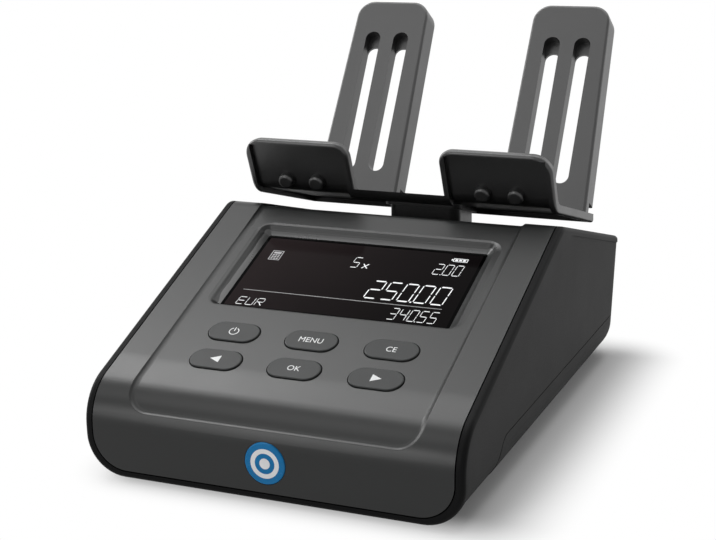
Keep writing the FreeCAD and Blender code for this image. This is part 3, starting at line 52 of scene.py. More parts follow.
# Planes of the sloping panel and of the window: the tilt about X, and where (0, 0) lies
PANEL_TILT = radians(21.3)
PANEL_FOOT = Vector((0, 0, 76.74)) * MM
GLASS_TILT = radians(20.2)
GLASS_FOOT = Vector((0, -17.983, 65.328)) * MM


# Finishes: their patterns are in metres

MIX_FIRST, MIX_SECOND, MIX_RESULT = 6, 7, 2  # a Mix node's sockets for colours
COVER_GREY = (0.0098, 0.0104, 0.0102)

# Line between the smooth band and the grained sides
BAND_TILT = radians(17.7)
BAND_Z = 66.7 * MM
BAND_FRONT_Y = -112.4 * MM
BAND_CORNER = 16.0 * MM
DECK_TILT = radians(15.9)
GRAIN_TOP_Z = 70.45 * MM

# Shallow slope round the display's lip: an oblong's middle and half sizes inside its round
# corners, then the corners, the slope's width and its fall, and where it fades at the foot
EASE_MIDDLE = (0.4 * MM, -43.4 * MM)
EASE_HALF = (43.4 * MM, 20.3 * MM)
EASE_CORNER = 6.5 * MM
EASE_WIDE = 2.6 * MM
EASE_SLOPE = 0.28
EASE_FOOT = (-70 * MM, -58 * MM)

# Where the panel eases into the front bend, and by how much it falls there
BEND_LOW, BEND_HIGH, BEND_DROP = -116 * MM, -101 * MM, 0.70 * MM

# Clear middle of the window, inside a black border painted as shade in the gap at its edge
CLEAR_HALF, CLEAR_LOW, CLEAR_HIGH = 43.25 * MM, -44.9 * MM, -1.5 * MM

# The badge's white ring and dot
RING_FROM, RING_TO, DOT_TO = 3.6 * MM, 5.2 * MM, 1.9 * MM


class Field:
    """A shader value for sums: each operator adds one Math node."""

    def __init__(self, finish, socket):
        self.finish = finish
        self.socket = socket

    def __add__(self, other):
        return self.finish.math("ADD", self, other)

    def __sub__(self, other):
        return self.finish.math("SUBTRACT", self, other)

    def __rsub__(self, other):
        return self.finish.math("SUBTRACT", other, self)

    def __mul__(self, other):
        return self.finish.math("MULTIPLY", self, other)

    def __gt__(self, other):
        return self.finish.math("GREATER_THAN", self, other)

    def __lt__(self, other):
        return self.finish.math("LESS_THAN", self, other)

    __radd__ = __add__
    __rmul__ = __mul__


class Finish:
    """One material: `add` makes any node, and sums of its fields make their own."""

    def __init__(self, name, **fixed):
        self.material = bpy.data.materials.new(name)
        self.material.use_nodes = True
        self.tree = self.material.node_tree
        self.shader = self.tree.nodes["Principled BSDF"]
        for key, value in fixed.items():
            self.give(self.shader, key.replace("_", " "), value)
        self.place = self.add("TexCoord").outputs["Object"]
        split = self.add("SeparateXYZ", {}, {"Vector": self.place})
        self.x, self.y, self.z = (Field(self, socket) for socket in split.outputs)

    def add(self, kind, settings=None, values=None):
        """A node of one kind: its settings first, then the values or links of its sockets."""
        node = self.tree.nodes.new("ShaderNode" + kind)
        for key, value in (settings or {}).items():
            setattr(node, key, value)
        for key, value in (values or {}).items():
            self.give(node, key, value)
        return node

    def give(self, node, key, value):
        """Set one socket of a node, or link a field or another node's output to it."""
        socket = node.inputs[key]
        if isinstance(value, Field):
            value = value.socket
        if isinstance(value, bpy.types.NodeSocket):
            self.tree.links.new(value, socket)
        elif isinstance(value, tuple) and len(value) == 3 and socket.type == "RGBA":
            socket.default_value = (*value, 1)
        else:
            socket.default_value = value

    def math(self, operation, *values):
        """The value that one Math node makes of some others."""
        node = self.add("Math", {"operation": operation}, dict(enumerate(values)))
        return Field(self, node.outputs[0])

    def noise(self, size, detail=3.0, stretch=(1, 1, 1)):
        """Cloudy noise from 0 to 1, whose lumps are about one size across."""
        mapped = self.add("Mapping", {}, {"Vector": self.place, "Scale": stretch})
        made = self.add("TexNoise", {}, {
            "Vector": mapped.outputs["Vector"], "Scale": 1 / size, "Detail": detail})
        return Field(self, made.outputs["Fac"])

    def eased(self, value, low, high, at_low, at_high):
        """A value that runs smoothly between two levels while another passes between two."""
        node = self.add("MapRange", {"interpolation_type": "SMOOTHSTEP"}, {
            "Value": value, "From Min": low, "From Max": high,
            "To Min": at_low, "To Max": at_high})
        return Field(self, node.outputs["Result"])

    def mix(self, share, first, second):
        """A colour between two colours, by a share from 0 to 1."""
        node = self.add("Mix", {"data_type": "RGBA", "clamp_factor": True}, {
            "Factor": share, MIX_FIRST: first, MIX_SECOND: second})
        return node.outputs[MIX_RESULT]

    def bump(self, height, depth):
        """Small relief: a height times a depth in metres."""
        node = self.add("Bump", {}, {"Height": height, "Distance": depth})
        self.give(self.shader, "Normal", node.outputs["Normal"])

    def colour(self, value):
        """Give the surface its colour."""
        self.give(self.shader, "Base Color", value)

    def rough(self, value):
        """Give the surface its roughness."""
        self.give(self.shader, "Roughness", value)


def shade(colour, by):
    """A colour made lighter or darker by a factor."""
    return tuple(channel * by for channel in colour)


def moulded(name, colour, rough, grain=0.35 * MM, depth=0.012 * MM, uneven=0.12, **fixed):
    """Moulded plastic: spark-eroded grain, slow changes of gloss, and a faint mottle."""
    made = Finish(name, **fixed)
    slow = made.noise(14 * MM)
    made.colour(made.mix(slow, shade(colour, 1 - uneven), shade(colour, 1 + uneven)))
    made.rough(rough + 0.10 * (slow - 0.5) + 0.08 * (made.noise(0.9 * MM) - 0.5))
    made.bump(made.noise(grain, 4.0), depth)
    return made


def metal(name, colour, rough, brushed=(1, 1, 1)):
    """Bare metal with fine marks that run along the axis whose stretch is small."""
    made = Finish(name, Metallic=1.0)
    marks = made.noise(0.4 * MM, 4.0, brushed)
    slow = made.noise(9 * MM)
    made.colour(made.mix(slow, shade(colour, 0.86), colour))
    made.rough(rough + 0.16 * (marks - 0.5) + 0.10 * (slow - 0.5))
    made.bump(marks, 0.006 * MM)
    return made


def side_mask(made):
    """1 behind and below the line that bounds the grained sides, with its round front corner.

    The corner is a circle that touches the band's line and the front's. With p and q the radius
    less a place's distance from each line, and c the sine of the band's tilt, the place is cut
    off between the two touches where p squared plus q squared less 2 c p q is more than the
    radius squared times one less c squared.
    """
    below_band = (BAND_Z + made.y * tan(BAND_TILT) - made.z) * cos(BAND_TILT)
    behind_front = made.y - BAND_FRONT_Y
    below_deck = (GRAIN_TOP_Z - made.y * tan(DECK_TILT) - made.z) * cos(DECK_TILT)
    past_band = BAND_CORNER - below_band
    past_front = BAND_CORNER - behind_front
    lean = sin(BAND_TILT)
    inside_band = (past_band - lean * past_front) > 0
    inside_front = (past_front - lean * past_band) > 0
    reach = past_band * past_band + past_front * past_front - 2 * lean * past_band * past_front
    outside = reach > BAND_CORNER ** 2 * (1 - lean ** 2)
    corner = inside_band * inside_front * outside
    return (below_band > 0) * (behind_front > 0) * (below_deck > 0) * (1 - corner)


def housing_plastic():
    """Black ABS: a smooth dull band and rim, and grained, greyer sides set back from it."""
    band, side = (0.0045, 0.0045, 0.0047), (0.0112, 0.0112, 0.0112)
    made = Finish("housing_plastic", Specular_IOR_Level=0.145)
    slow = made.noise(18 * MM)
    made.colour(made.mix(slow, shade(side, 0.93), shade(side, 1.08)))
    made.rough(0.56 + 0.08 * slow + 0.10 * made.noise(0.6 * MM))
    made.bump(made.noise(0.32 * MM, 5.0), 0.035 * MM)
    fine = made.add("Bump", {}, {"Height": made.noise(0.25 * MM, 3.0), "Distance": 0.004 * MM})
    smooth = made.add("BsdfPrincipled", {}, {
        "Base Color": made.mix(slow, shade(band, 0.9), shade(band, 1.15)),
        "Roughness": 0.44 + 0.10 * slow, "Specular IOR Level": 0.06,
        "Normal": fine.outputs["Normal"]})
    both = made.add("MixShader", {}, {
        0: side_mask(made), 1: smooth.outputs[0], 2: made.shader.outputs[0]})
    made.give(made.tree.nodes["Material Output"], "Surface", both.outputs[0])
    return made


def cover_plastic():
    """Dark grey cover, whose panel eases down by a shallow slope round the display's lip.

    The slope is relief: a fall that grows with the distance inside a round-cornered oblong,
    over the slope's width, and that fades out towards the foot of the display. The panel also
    eases into the front bend.
    """
    made = Finish("cover_plastic", Specular_IOR_Level=0.33)
    slow = made.noise(14 * MM)
    made.colour(made.mix(slow, shade(COVER_GREY, 0.95), shade(COVER_GREY, 1.05)))
    made.rough(0.30 + 0.05 * slow)
    up = up_plane(made, PANEL_FOOT, PANEL_TILT)
    past = [made.math("MAXIMUM", made.math("ABSOLUTE", along - middle) - half, 0)
            for along, middle, half in zip((made.x, up), EASE_MIDDLE, EASE_HALF)]
    inside = EASE_CORNER - made.math("SQRT", past[0] * past[0] + past[1] * past[1])
    inside = made.math("MINIMUM", made.math("MAXIMUM", inside, 0), EASE_WIDE)
    slope = inside * made.eased(up, *EASE_FOOT, 0.0, EASE_SLOPE)
    drop = made.eased(up, BEND_LOW, BEND_HIGH, -BEND_DROP, 0.0)
    grain = made.noise(0.28 * MM, 4.0) * (0.003 * MM)
    made.bump(grain - slope + drop, 1.0)
    return made


def up_plane(made, foot, tilt):
    """How far up a tilted plane a place lies."""
    return (made.y - foot.y) * cos(tilt) + (made.z - foot.z) * sin(tilt)


def window_glass():
    """Acrylic window: painted gap shade round its edge, a dark middle, and a painted warm
    reflection to its upper left.
    """
    made = Finish("window_acrylic", Specular_IOR_Level=0.017)
    up = up_plane(made, GLASS_FOOT, GLASS_TILT)
    side = made.math("ABSOLUTE", made.x)
    # Painted shade: a black strip round the window's edge stands for the shaded gap beside the
    # lip
    painted_gap_shade = made.math("MAXIMUM", side > CLEAR_HALF, up > CLEAR_HIGH)
    painted_gap_shade = made.math("MAXIMUM", painted_gap_shade, up < CLEAR_LOW)
    # Painted reflection: the middle grows warmer and lighter towards the upper left, as a
    # mirrored room would make it
    painted_reflection = made.x * (-5.5) + made.z * 6.0 + 0.10 * made.noise(30 * MM)
    middle = made.mix(painted_reflection * painted_reflection, (0.0034, 0.0028, 0.0030), (0.046, 0.034, 0.035))
    made.colour(made.mix(painted_gap_shade, middle, (0.0003, 0.0003, 0.0003)))
    made.rough(0.05 + 0.05 * made.noise(6 * MM))
    made.bump(made.noise(8 * MM, 1.0), 0.004 * MM)
    return made


def board_finish():
    """Green solder mask over a grid of traces, with pale pads."""
    made = Finish("circuit_board")
    cells = made.add("TexVoronoi", {"feature": "F1", "distance": "CHEBYCHEV"}, {
        "Vector": made.place, "Scale": 1 / (3.2 * MM)})
    edge = made.add("TexVoronoi", {"feature": "DISTANCE_TO_EDGE"}, {
        "Vector": made.place, "Scale": 1 / (2.4 * MM)})
    trace = Field(made, edge.outputs["Distance"]) < 0.06
    pad = Field(made, cells.outputs["Distance"]) < 0.12
    mask = made.mix(trace, (0.012, 0.09, 0.035), (0.022, 0.16, 0.06))
    made.colour(made.mix(pad, mask, (0.55, 0.53, 0.48)))
    made.rough(0.32 + 0.15 * made.noise(1.2 * MM) - 0.1 * pad)
    made.bump(trace + 2 * pad, 0.02 * MM)
    return made


def ink(name, colour, glow=0.0):
    """Printed ink, a little uneven, that may glow as a lit display figure does."""
    made = Finish(name)
    spread = made.noise(0.5 * MM, 4.0)
    made.colour(made.mix(spread, shade(colour, 0.92), colour))
    made.rough(0.42 + 0.16 * spread)
    made.bump(spread, 0.004 * MM)
    if glow:
        made.give(made.shader, "Emission Color", made.mix(spread, shade(colour, 0.97), colour))
        made.give(made.shader, "Emission Strength", glow)
    return made


def badge_finish(middle):
    """A blue enamel disc with a plain white ring round a white centre dot."""
    blue, white = (0.0, 0.17, 0.42), (0.86, 0.87, 0.88)
    made = Finish("badge_enamel", Specular_IOR_Level=0.2)
    away_x = made.x - middle.x
    away_z = made.z - middle.z
    reach = made.math("SQRT", away_x * away_x + away_z * away_z)
    ring = (reach > RING_FROM) * (reach < RING_TO)
    dot = reach < DOT_TO
    deep = made.mix(made.noise(3 * MM), shade(blue, 0.9), shade(blue, 1.1))
    made.colour(made.mix(ring + dot, deep, white))
    made.rough(0.22 + 0.08 * made.noise(1.5 * MM))
    made.bump(1 - ring - dot, 0.02 * MM)
    return made


def dress(finish, *nodes):
    """Give nodes of the frame a finish, through their own material slots."""
    for name in nodes:
        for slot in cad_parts[name].material_slots:
            slot.material = finish.material


def dress_frame():
    """The finish of every node of the frame, and the lip that lines the display's well."""
    dress(housing_plastic(), "main_housing", "base_shell")
    dress(cover_plastic(), "top_cover")
    window_lip(moulded("lip_plastic", COVER_GREY, 0.30, 0.28 * MM, 0.002 * MM, 0.05,
                       Specular_IOR_Level=0.70))
    keys = [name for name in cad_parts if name.endswith("_button")]
    dress(moulded("key_plastic", (0.0178, 0.0192, 0.0192), 0.42, 0.22 * MM, 0.006 * MM, 0.05,
                  Specular_IOR_Level=0.22), *keys)
    dress(moulded("tray_plastic", (0.0118, 0.0118, 0.0120), 0.36, 0.45 * MM, 0.010 * MM, 0.08,
                  Specular_IOR_Level=0.70), "money_tray", "platform_post")
    dress(window_glass(), "display_window")
    middle = sum((Vector(corner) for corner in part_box("front_badge")), Vector()) / 2
    dress(badge_finish(middle), "front_badge")
    dress(moulded("door_plastic", (0.012, 0.012, 0.012), 0.45, 0.4 * MM, 0.03 * MM),
          "battery_door")
    dress(moulded("silicone", (0.22, 0.22, 0.22), 0.6, 0.3 * MM, 0.02 * MM), "keypad_mat")
    dress(moulded("buzzer_plastic", (0.010, 0.010, 0.010), 0.3), "buzzer")
    dress(moulded("socket_plastic", (0.010, 0.010, 0.010), 0.35), "power_jack", "printer_port")
    dress(moulded("lcd_glass", (0.06, 0.07, 0.065), 0.1, 3 * MM, 0.002 * MM), "lcd_module")
    dress(board_finish(), "main_board", "port_board")
    dress(metal("milled_aluminium", (0.80, 0.81, 0.82), 0.32, (0.05, 1, 1)), "load_cell")
    dress(metal("plated_steel", (0.62, 0.62, 0.60), 0.34, (0.1, 1, 1)),
          "platform_carrier", "usb_port")
    dress(metal("sprung_brass", (0.78, 0.60, 0.28), 0.28, (1, 1, 0.1)), "battery_contacts")


# Making pieces

SHARP_FROM = radians(35)
INK = 0.04  # thickness of a printed mark


def mesh_piece(name, points, faces, finish, body, slot):
    """A piece from points in place and faces of point numbers, smooth between sharp edges."""
    mesh = bpy.data.meshes.new(name)
    mesh.from_pydata(np.asarray(points, float).tolist(), [], faces)
    mesh.validate()
    mesh.shade_smooth()
    mesh.set_sharp_from_angle(angle=SHARP_FROM)
    piece = bpy.data.objects.new(name, mesh)
    bpy.context.scene.collection.objects.link(piece)
    mesh.materials.append(finish.material)
    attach(piece, body)
    return piece


def on_plane(flat, foot, tilt, lift=0.0):
    """Points (across, up, rise) of a plane tilted about X, as places in the frame."""
    across, up, rise = np.asarray(flat, float).T * MM
    rise = rise + lift * MM
    return np.column_stack([
        foot[0] + across,
        foot[1] + up * cos(tilt) - rise * sin(tilt),
        foot[2] + up * sin(tilt) + rise * cos(tilt)])


def merged(parts):
    """Several (points, faces) as one: each part's face numbers move on by the points before."""
    points, faces, start = [], [], 0
    for more, sides in parts:
        points.append(more)
        faces += [[corner + start for corner in side] for side in sides]
        start += len(more)
    return np.concatenate(points), faces


def joined(parts):
    """Several (points, faces) in millimetres as one mesh's, in metres."""
    points, faces = merged(parts)
    return points * MM, faces


def slabs(outlines):
    """Flat closed plates of ink: each outline, turning left, gets a back and a wall."""
    parts = []
    for outline in outlines:
        flat = np.asarray(outline, float)
        count = len(flat)
        top, back = (np.column_stack([flat, np.full(count, rise)]) for rise in (INK, 0.0))
        here = np.arange(count)
        beside = (here + 1) % count
        walls = np.column_stack([here, here + count, beside + count, beside])
        faces = [here.tolist(), (here[::-1] + count).tolist()] + walls.tolist()
        parts.append((np.concatenate([top, back]), faces))
    return merged(parts)


def rod_faces(steps):
    """Faces of a four-sided rod whose points run round it, step by step: walls, then ends."""
    here = np.arange(4)
    beside = (here + 1) % 4
    start = 4 * np.arange(steps)[:, None]
    walls = np.stack([start + here, start + beside, start + 4 + beside, start + 4 + here], -1)
    last = 4 * steps
    return walls.reshape(-1, 4).tolist() + [[3, 2, 1, 0], list(range(last, last + 4))]


def box_outline(left, low, right, high):
    """An oblong's corners, turning left."""
    return [(left, low), (right, low), (right, high), (left, high)]


# The display's lip. Its edges on the panel: half width, foot, top and corner. The recess's
# depth under the panel, the window's depth at a place up the panel, and the lip's lift
LIP_OUTER = (48.5, -69.2, -17.5, 4.2)
LIP_INNER = (44.55, -66.55, -20.95, 0.9)
LIP_ROWS = 14
RECESS = 1.0
WINDOW_DEPTH, WINDOW_DEPTH_AT = 4.08, -20.9
LIP_LIFT = 0.02

# How much of its fall is curved, which grows up the panel from a place over a run, and the
# two rows of its hidden back: the share inwards and the depth
LIP_CURVED, CURVED_FROM, CURVED_OVER = 0.3, -68.5, 9
LIP_BACK = ((0.23, 1.5), (0.0, 1.05))


def rounded_box(half, low, high, corner, corner_steps=9, side_steps=14):
    """Places round an oblong, turning left: quarter circles and even steps between them."""
    turn = np.radians(np.linspace(0, 90, corner_steps))
    arcs = []
    for step, (x, y) in enumerate(((half, high), (-half, high), (-half, low), (half, low))):
        angle = turn + step * np.pi / 2
        middle = np.array((x - corner * np.sign(x), y - corner * (1 if y == high else -1)))
        arcs.append(middle + corner * np.column_stack([np.cos(angle), np.sin(angle)]))
    share = np.linspace(0, 1, side_steps)[1:-1, None]
    runs = [np.concatenate([arc, arc[-1] * (1 - share) + after[0] * share])
            for arc, after in zip(arcs, arcs[1:] + arcs[:1])]
    return np.concatenate(runs)


def window_lip(finish):
    """The smooth lip that runs from the panel down to the display window, closed behind.

    Round the window, each place goes inwards by a share t and down by 0.7 t + 0.3 t squared;
    the wide outer corners draw in to the window's tight ones. Along the foot it is a straight
    slope.
    """
    outer, inner = rounded_box(*LIP_OUTER), rounded_box(*LIP_INNER)
    around = len(outer)
    rolled = np.clip((outer[:, 1] - CURVED_FROM) / CURVED_OVER, 0, 1)
    bend = LIP_CURVED * (rolled * rolled * (3 - 2 * rolled))[:, None]
    share = np.linspace(0, 1, LIP_ROWS)
    fall = (1 - bend) * share + bend * share ** 2
    back = np.broadcast_to(LIP_BACK, (around, 2, 2))
    inward = np.column_stack([np.broadcast_to(share, fall.shape), back[:, :, 0]])
    flat = outer[:, None] + inward[:, :, None] * (inner - outer)[:, None]
    window = WINDOW_DEPTH + (inner[:, 1] - WINDOW_DEPTH_AT) * tan(PANEL_TILT - GLASS_TILT)
    depth = RECESS - LIP_LIFT + fall * (window[:, None] - RECESS)
    depth = np.column_stack([depth, back[:, :, 1]])
    points = np.concatenate([flat, -depth[:, :, None]], axis=-1)
    rows = depth.shape[1]
    here = np.arange(rows)
    beside = (here + 1) % rows
    start = rows * np.arange(around)[:, None]
    after = rows * ((np.arange(around) + 1) % around)[:, None]
    faces = np.stack([start + here, after + here, after + beside, start + beside], -1)
    points = on_plane(points.reshape(-1, 3), PANEL_FOOT, PANEL_TILT)
    mesh_piece("window_lip", points, faces.reshape(-1, 4).tolist(), finish, "casing",
               "cover_grey")


# Seven-segment figures: the ends of each bar in a box one unit wide and two high
BARS = {
    "a": ((0, 2), (1, 2)), "b": ((1, 2), (1, 1)), "c": ((1, 1), (1, 0)), "d": ((0, 0), (1, 0)),
    "e": ((0, 1), (0, 0)), "f": ((0, 2), (0, 1)), "g": ((0, 1), (1, 1)),
    "k": ((0.35, 1), (1, 0)),
}
LIT = {
    "0": "abcdef", "2": "abged", "3": "abgcd", "4": "fgbc", "5": "afgcd",
    "E": "adefg", "U": "bcdef", "R": "abefgk",
}
FIGURE_SLANT = tan(radians(5))
UPRIGHT_THIN = 0.58
BAR_GAP = 0.42

# What the window shows: the signs, their left and low edges, a figure's width and height, the
# step to the next and the stroke. Then the small signs, the line as an oblong's edges, the
# walls of two signs, and how far all of it stands off the window
FIGURES = (
    ("250.00", 7.5, -32.8, 4.6, 10.4, 6.35, 0.70),
    ("340.55", 20.4, -43.6, 2.65, 6.4, 3.75, 0.38),
    ("2.00", 27.6, -15.1, 2.65, 6.4, 3.75, 0.38),
    ("5", -4.7, -15.4, 2.7, 6.2, 3.75, 0.38),
    ("EUR", -39.0, -43.9, 2.75, 4.3, 3.75, 0.32),
)
TIMES_LEFT, TIMES_LOW, TIMES_RIGHT, TIMES_HIGH, TIMES_STROKE = 0.0, -15.6, 2.2, -12.7, 0.42
BATTERY_AT = (32.8, -6.4)
TILL_AT = (-38.6, -15.5)
LINE = (-39.7, -35.25, 38.4, -34.95)
SIGN_WALL = 0.3
WINDOW_LIFT = 0.01


def bar(start, end, wide, gap):
    """A pointed bar between two places: a long hexagon, drawn in a little at both ends."""
    start, end = np.array(start), np.array(end)
    along = (end - start) / np.linalg.norm(end - start)
    side = np.array([-along[1], along[0]]) * wide / 2
    first, last = start + along * gap, end - along * gap
    nose = along * wide / 2
    return [first, first + nose - side, last - nose - side,
            last, last - nose + side, first + nose + side]


def figures(text, left, low, wide, high, pitch, stroke):
    """Slanted seven-segment figures, whose point sits in the gap after a figure."""
    outlines = []
    at = left
    for sign in text:
        if sign == ".":
            spot = at - (pitch - wide + stroke) / 2
            outlines.append(box_outline(spot, low - stroke / 2, spot + stroke,
                                        low + stroke / 2))
            continue
        for name in LIT[sign]:
            ends = [(at + x * wide, low + y * high / 2) for x, y in BARS[name]]
            upright = ends[0][0] == ends[1][0]
            outlines.append(bar(*ends, UPRIGHT_THIN * stroke if upright else stroke,
                                BAR_GAP * stroke))
        at += pitch
    return [[(x + (y - low) * FIGURE_SLANT, y) for x, y in outline] for outline in outlines]


def rim(left, low, wide, high):
    """The four thin sides of an upright oblong."""
    right, top = left + wide, low + high
    return [box_outline(left, low, right, low + SIGN_WALL),
            box_outline(left, top - SIGN_WALL, right, top),
            box_outline(left, low + SIGN_WALL, left + SIGN_WALL, top - SIGN_WALL),
            box_outline(right - SIGN_WALL, low + SIGN_WALL, right, top - SIGN_WALL)]


def battery_sign(left, low):
    """A small battery: four sides, a cap and three charge bars."""
    wide, high = 5.6, 2.1
    parts = rim(left, low, wide, high)
    parts.append(box_outline(left - 0.7, low + 0.6, left - 0.1, low + high - 0.6))
    for i in range(3):
        start = left + 0.7 + 1.5 * i
        parts.append(box_outline(start, low + 0.55, start + 1.1, low + high - 0.55))
    return parts


def till_sign(left, low):
    """A small upright pad with a window and rows of keys."""
    wide, high = 4.6, 6.0
    parts = rim(left, low, wide, high)
    parts.append(box_outline(left + 0.8, low + 4.1, left + wide - 0.8, low + 5.2))
    for row in range(3):
        for column in range(3):
            x, y = left + 0.8 + 1.1 * column, low + 0.7 + 1.1 * row
            parts.append(box_outline(x, y, x + 0.75, y + 0.7))
    return parts


def on_window(name, outlines, finish):
    """Lay plates on the display window."""
    points, faces = slabs(outlines)
    points = on_plane(points, GLASS_FOOT, GLASS_TILT, WINDOW_LIFT)
    mesh_piece(name, points, faces, finish, "casing", "window_black")


def display():
    """What the display shows: count, unit value, sum and total, with a line and small signs."""
    parts = [outline for row in FIGURES for outline in figures(*row)]
    for start, end in ((TIMES_LOW, TIMES_HIGH), (TIMES_HIGH, TIMES_LOW)):
        parts.append(bar((TIMES_LEFT, start), (TIMES_RIGHT, end), TIMES_STROKE, 0))
    parts += battery_sign(*BATTERY_AT)
    on_window("display_figures", parts, ink("display_figures", (0.86, 0.87, 0.88), glow=0.22))
    on_window("display_sign", till_sign(*TILL_AT),
              ink("display_sign", (0.42, 0.42, 0.43), glow=0.10))
    on_window("display_line", [box_outline(*LINE)],
              ink("display_line", (0.30, 0.30, 0.30), glow=0.05))


# Legends of the keys, laid on the caps' tops, which lie a little under the panel's plane. Then
# the power sign: its ring's radius, stroke, half its gap as an angle and its steps, and its stem
KEY_COLUMN = 30.0
KEY_ROWS = (-83.5, -98.8)
LEGEND_LIFT = -0.395
LETTER_HIGH, LETTER_SQUEEZE = 2.55, 0.92
ARROW = np.array([(-2.1, 0.0), (1.6, -1.75), (1.6, 1.75)])
RING_RADIUS, RING_STROKE, RING_GAP, RING_STEPS = 1.75, 0.36, 0.42, 40
STEM = (-0.18, 0.2, 0.18, 2.2)


def on_key(key, part, column, row, finish):
    """Lay a legend, drawn about (0, 0), on the middle of a key's cap."""
    points, faces = part
    points = points + (column * KEY_COLUMN, KEY_ROWS[row], 0.0)
    points = on_plane(points, PANEL_FOOT, PANEL_TILT, LEGEND_LIFT)
    mesh_piece(key + "_legend", points, faces, finish, key + "_button", "key_grey")


def words(text):
    """Thin closed letters about (0, 0), made a mesh from the built-in font."""
    letters = bpy.data.curves.new("letters", "FONT")
    letters.body = text
    letters.align_x = "CENTER"
    letters.size = 1.0
    letters.extrude = 0.01
    letters.resolution_u = 4
    helper = bpy.data.objects.new("letters", letters)
    bpy.context.scene.collection.objects.link(helper)
    made = bpy.data.meshes.new_from_object(helper.evaluated_get(
        bpy.context.evaluated_depsgraph_get()))
    points = np.empty(len(made.vertices) * 3)
    made.vertices.foreach_get("co", points)
    points = points.reshape(-1, 3)
    faces = [tuple(face.vertices) for face in made.polygons]
    bpy.data.objects.remove(helper)
    bpy.data.meshes.remove(made)
    low, high = points.min(axis=0), points.max(axis=0)
    scale = LETTER_HIGH / (high[1] - low[1])
    across, up = ((points - (low + high) / 2) * scale)[:, :2].T
    return np.column_stack([across * LETTER_SQUEEZE, up, (points[:, 2] > 0) * INK]), faces


def power_sign():
    """An open ring as a closed band, four rows carried round the circle, and a stem."""
    angle = np.linspace(np.pi / 2 + RING_GAP, np.pi / 2 + TURN - RING_GAP, RING_STEPS + 1)
    radius = RING_RADIUS + RING_STROKE / 2 * np.array([-1, 1, 1, -1])
    rise = np.broadcast_to((0.0, 0.0, INK, INK), (len(angle), 4))
    across, up = (np.outer(run, radius) for run in (np.cos(angle), np.sin(angle)))
    ring = np.stack([across, up, rise], axis=-1).reshape(-1, 3)
    return merged([(ring, rod_faces(RING_STEPS)), slabs([box_outline(*STEM)])])


def legends():
    """White marks on the six caps."""
    white = ink("key_legend", (0.78, 0.79, 0.79))
    on_key("menu", words("MENU"), 0, 0, white)
    on_key("clear", words("CE"), 1, 0, white)
    on_key("ok", words("OK"), 0, 1, white)
    on_key("left", slabs([ARROW]), -1, 1, white)
    on_key("right", slabs([-ARROW]), 1, 1, white)
    on_key("power", power_sign(), -1, 0, white)


# Fasteners, feet and fittings

AROUND = 48  # points round a round part
DOWN, UP = (0, 0, -1), (0, 0, 1)
PANEL_UNDER = (0, sin(PANEL_TILT), -cos(PANEL_TILT))
CROWN_SHARES = (0.0, 0.3, 0.6, 0.85, 1.0)  # rows of a screw's head, from its recess outwards

# The leaning rear wall that the sockets are set in, and their places along it
REAR_LEAN = radians(12)
REAR_OUT = np.array((0, cos(REAR_LEAN), -sin(REAR_LEAN)))
REAR_UP = np.array((0, sin(REAR_LEAN), cos(REAR_LEAN)))
PORT_MIDDLE = np.array((0, 87.42, 30.45))
JACK_X, DATA_X, PRINTER_X = -32.0, -8.0, 18.0

# Rings of (radius, height) from the outer end in
JACK_PIN = ((0.3, -1.3), (0.42, -0.95), (0.7, -0.85), (0.95, -0.95), (1.06, -1.3), (1.06, -9.9))
FOOT = ((3.4, 2.55), (3.7, 2.6), (3.95, 2.87), (4.2, 2.9), (5.2, 2.9), (5.65, 2.78),
        (5.9, 2.5), (6.0, 2.1), (6.0, 0.0))
FOOT_PLACES = ((-44, -70, 2.9), (44, -70, 2.9), (-44, 50, 2.9), (44, 50, 2.9))

# The data socket's tongue: half sizes and squareness, then shares of them at depths. Its four
# contacts and the printer socket's six: paths of (up, out), widths and thicknesses
TONGUE_HALF, TONGUE_SQUARE = (2.86, 1.67), 10
TONGUE_SHARES = ((0.7,), (0.93,), (1.0,), (1.0,))
TONGUE_DEPTHS = ((-1.4,), (-1.45,), (-1.7,), (-9.9,))
DATA_PATH = ((1.60, -1.9), (1.71, -2.3), (1.71, -5.0), (1.68, -9.0))
DATA_STEP, DATA_STRIP = 1.25, (1.0, 0.12)
PRINTER_PATH = ((3.3, -1.2), (2.9, -2.0), (0.9, -6.2), (0.2, -9.6))
PRINTER_STEP, PRINTER_STRIP = 1.27, (0.42, 0.3)

# The wrapped cells: a cell's radius, half the distance between two, the film's sink between
# them and its reach, the pack's middle, and shares of the section at places along it
CELL_RADIUS, CELL_APART = 9.5, 9.5
WAIST, WAIST_REACH = 0.45, 4.0
PACK_MIDDLE = (0, -40, 13.6)
PACK_SHARES = (0.86, 0.91, 0.97, 0.995, 1, 1, 1, 1, 0.995, 0.97, 0.91, 0.86)
PACK_PLACES = (34.2, 34.9, 34.8, 34.3, 33.4, 11, -11, -33.4, -34.3, -34.8, -34.9, -34.2)


def turned(radius, height):
    """A closed surface about +Z: ring i at angle j lies radius[i, j] out, height[i, j] up.

    Rings run from the outer end to the inner one, each joined to the next, and one point closes
    each end.
    """
    radius, height = np.broadcast_arrays(radius, height)
    rings, around = radius.shape
    angle = np.linspace(0, TURN, around, endpoint=False)
    grid = np.stack([radius * np.cos(angle), radius * np.sin(angle), height], axis=-1)
    poles = np.array([(0, 0, height[0].mean()), (0, 0, height[-1].mean())])
    here = np.arange(around)
    beside = (here + 1) % around
    start = 2 + around * np.arange(rings - 1)[:, None]
    walls = [start + here, start + around + here, start + around + beside, start + beside]
    end = 2 + around * (rings - 1)
    caps = [np.stack([0 * here, 2 + here, 2 + beside], -1),
            np.stack([0 * here + 1, end + beside, end + here], -1)]
    faces = np.stack(walls, -1).reshape(-1, 4).tolist() + caps[0].tolist() + caps[1].tolist()
    return np.concatenate([poles, grid.reshape(-1, 3)]), faces


def round_part(rings):
    """A round part from rings of (radius, height)."""
    table = np.array(rings, float)
    return turned(np.repeat(table[:, :1], AROUND, axis=1), table[:, 1:])


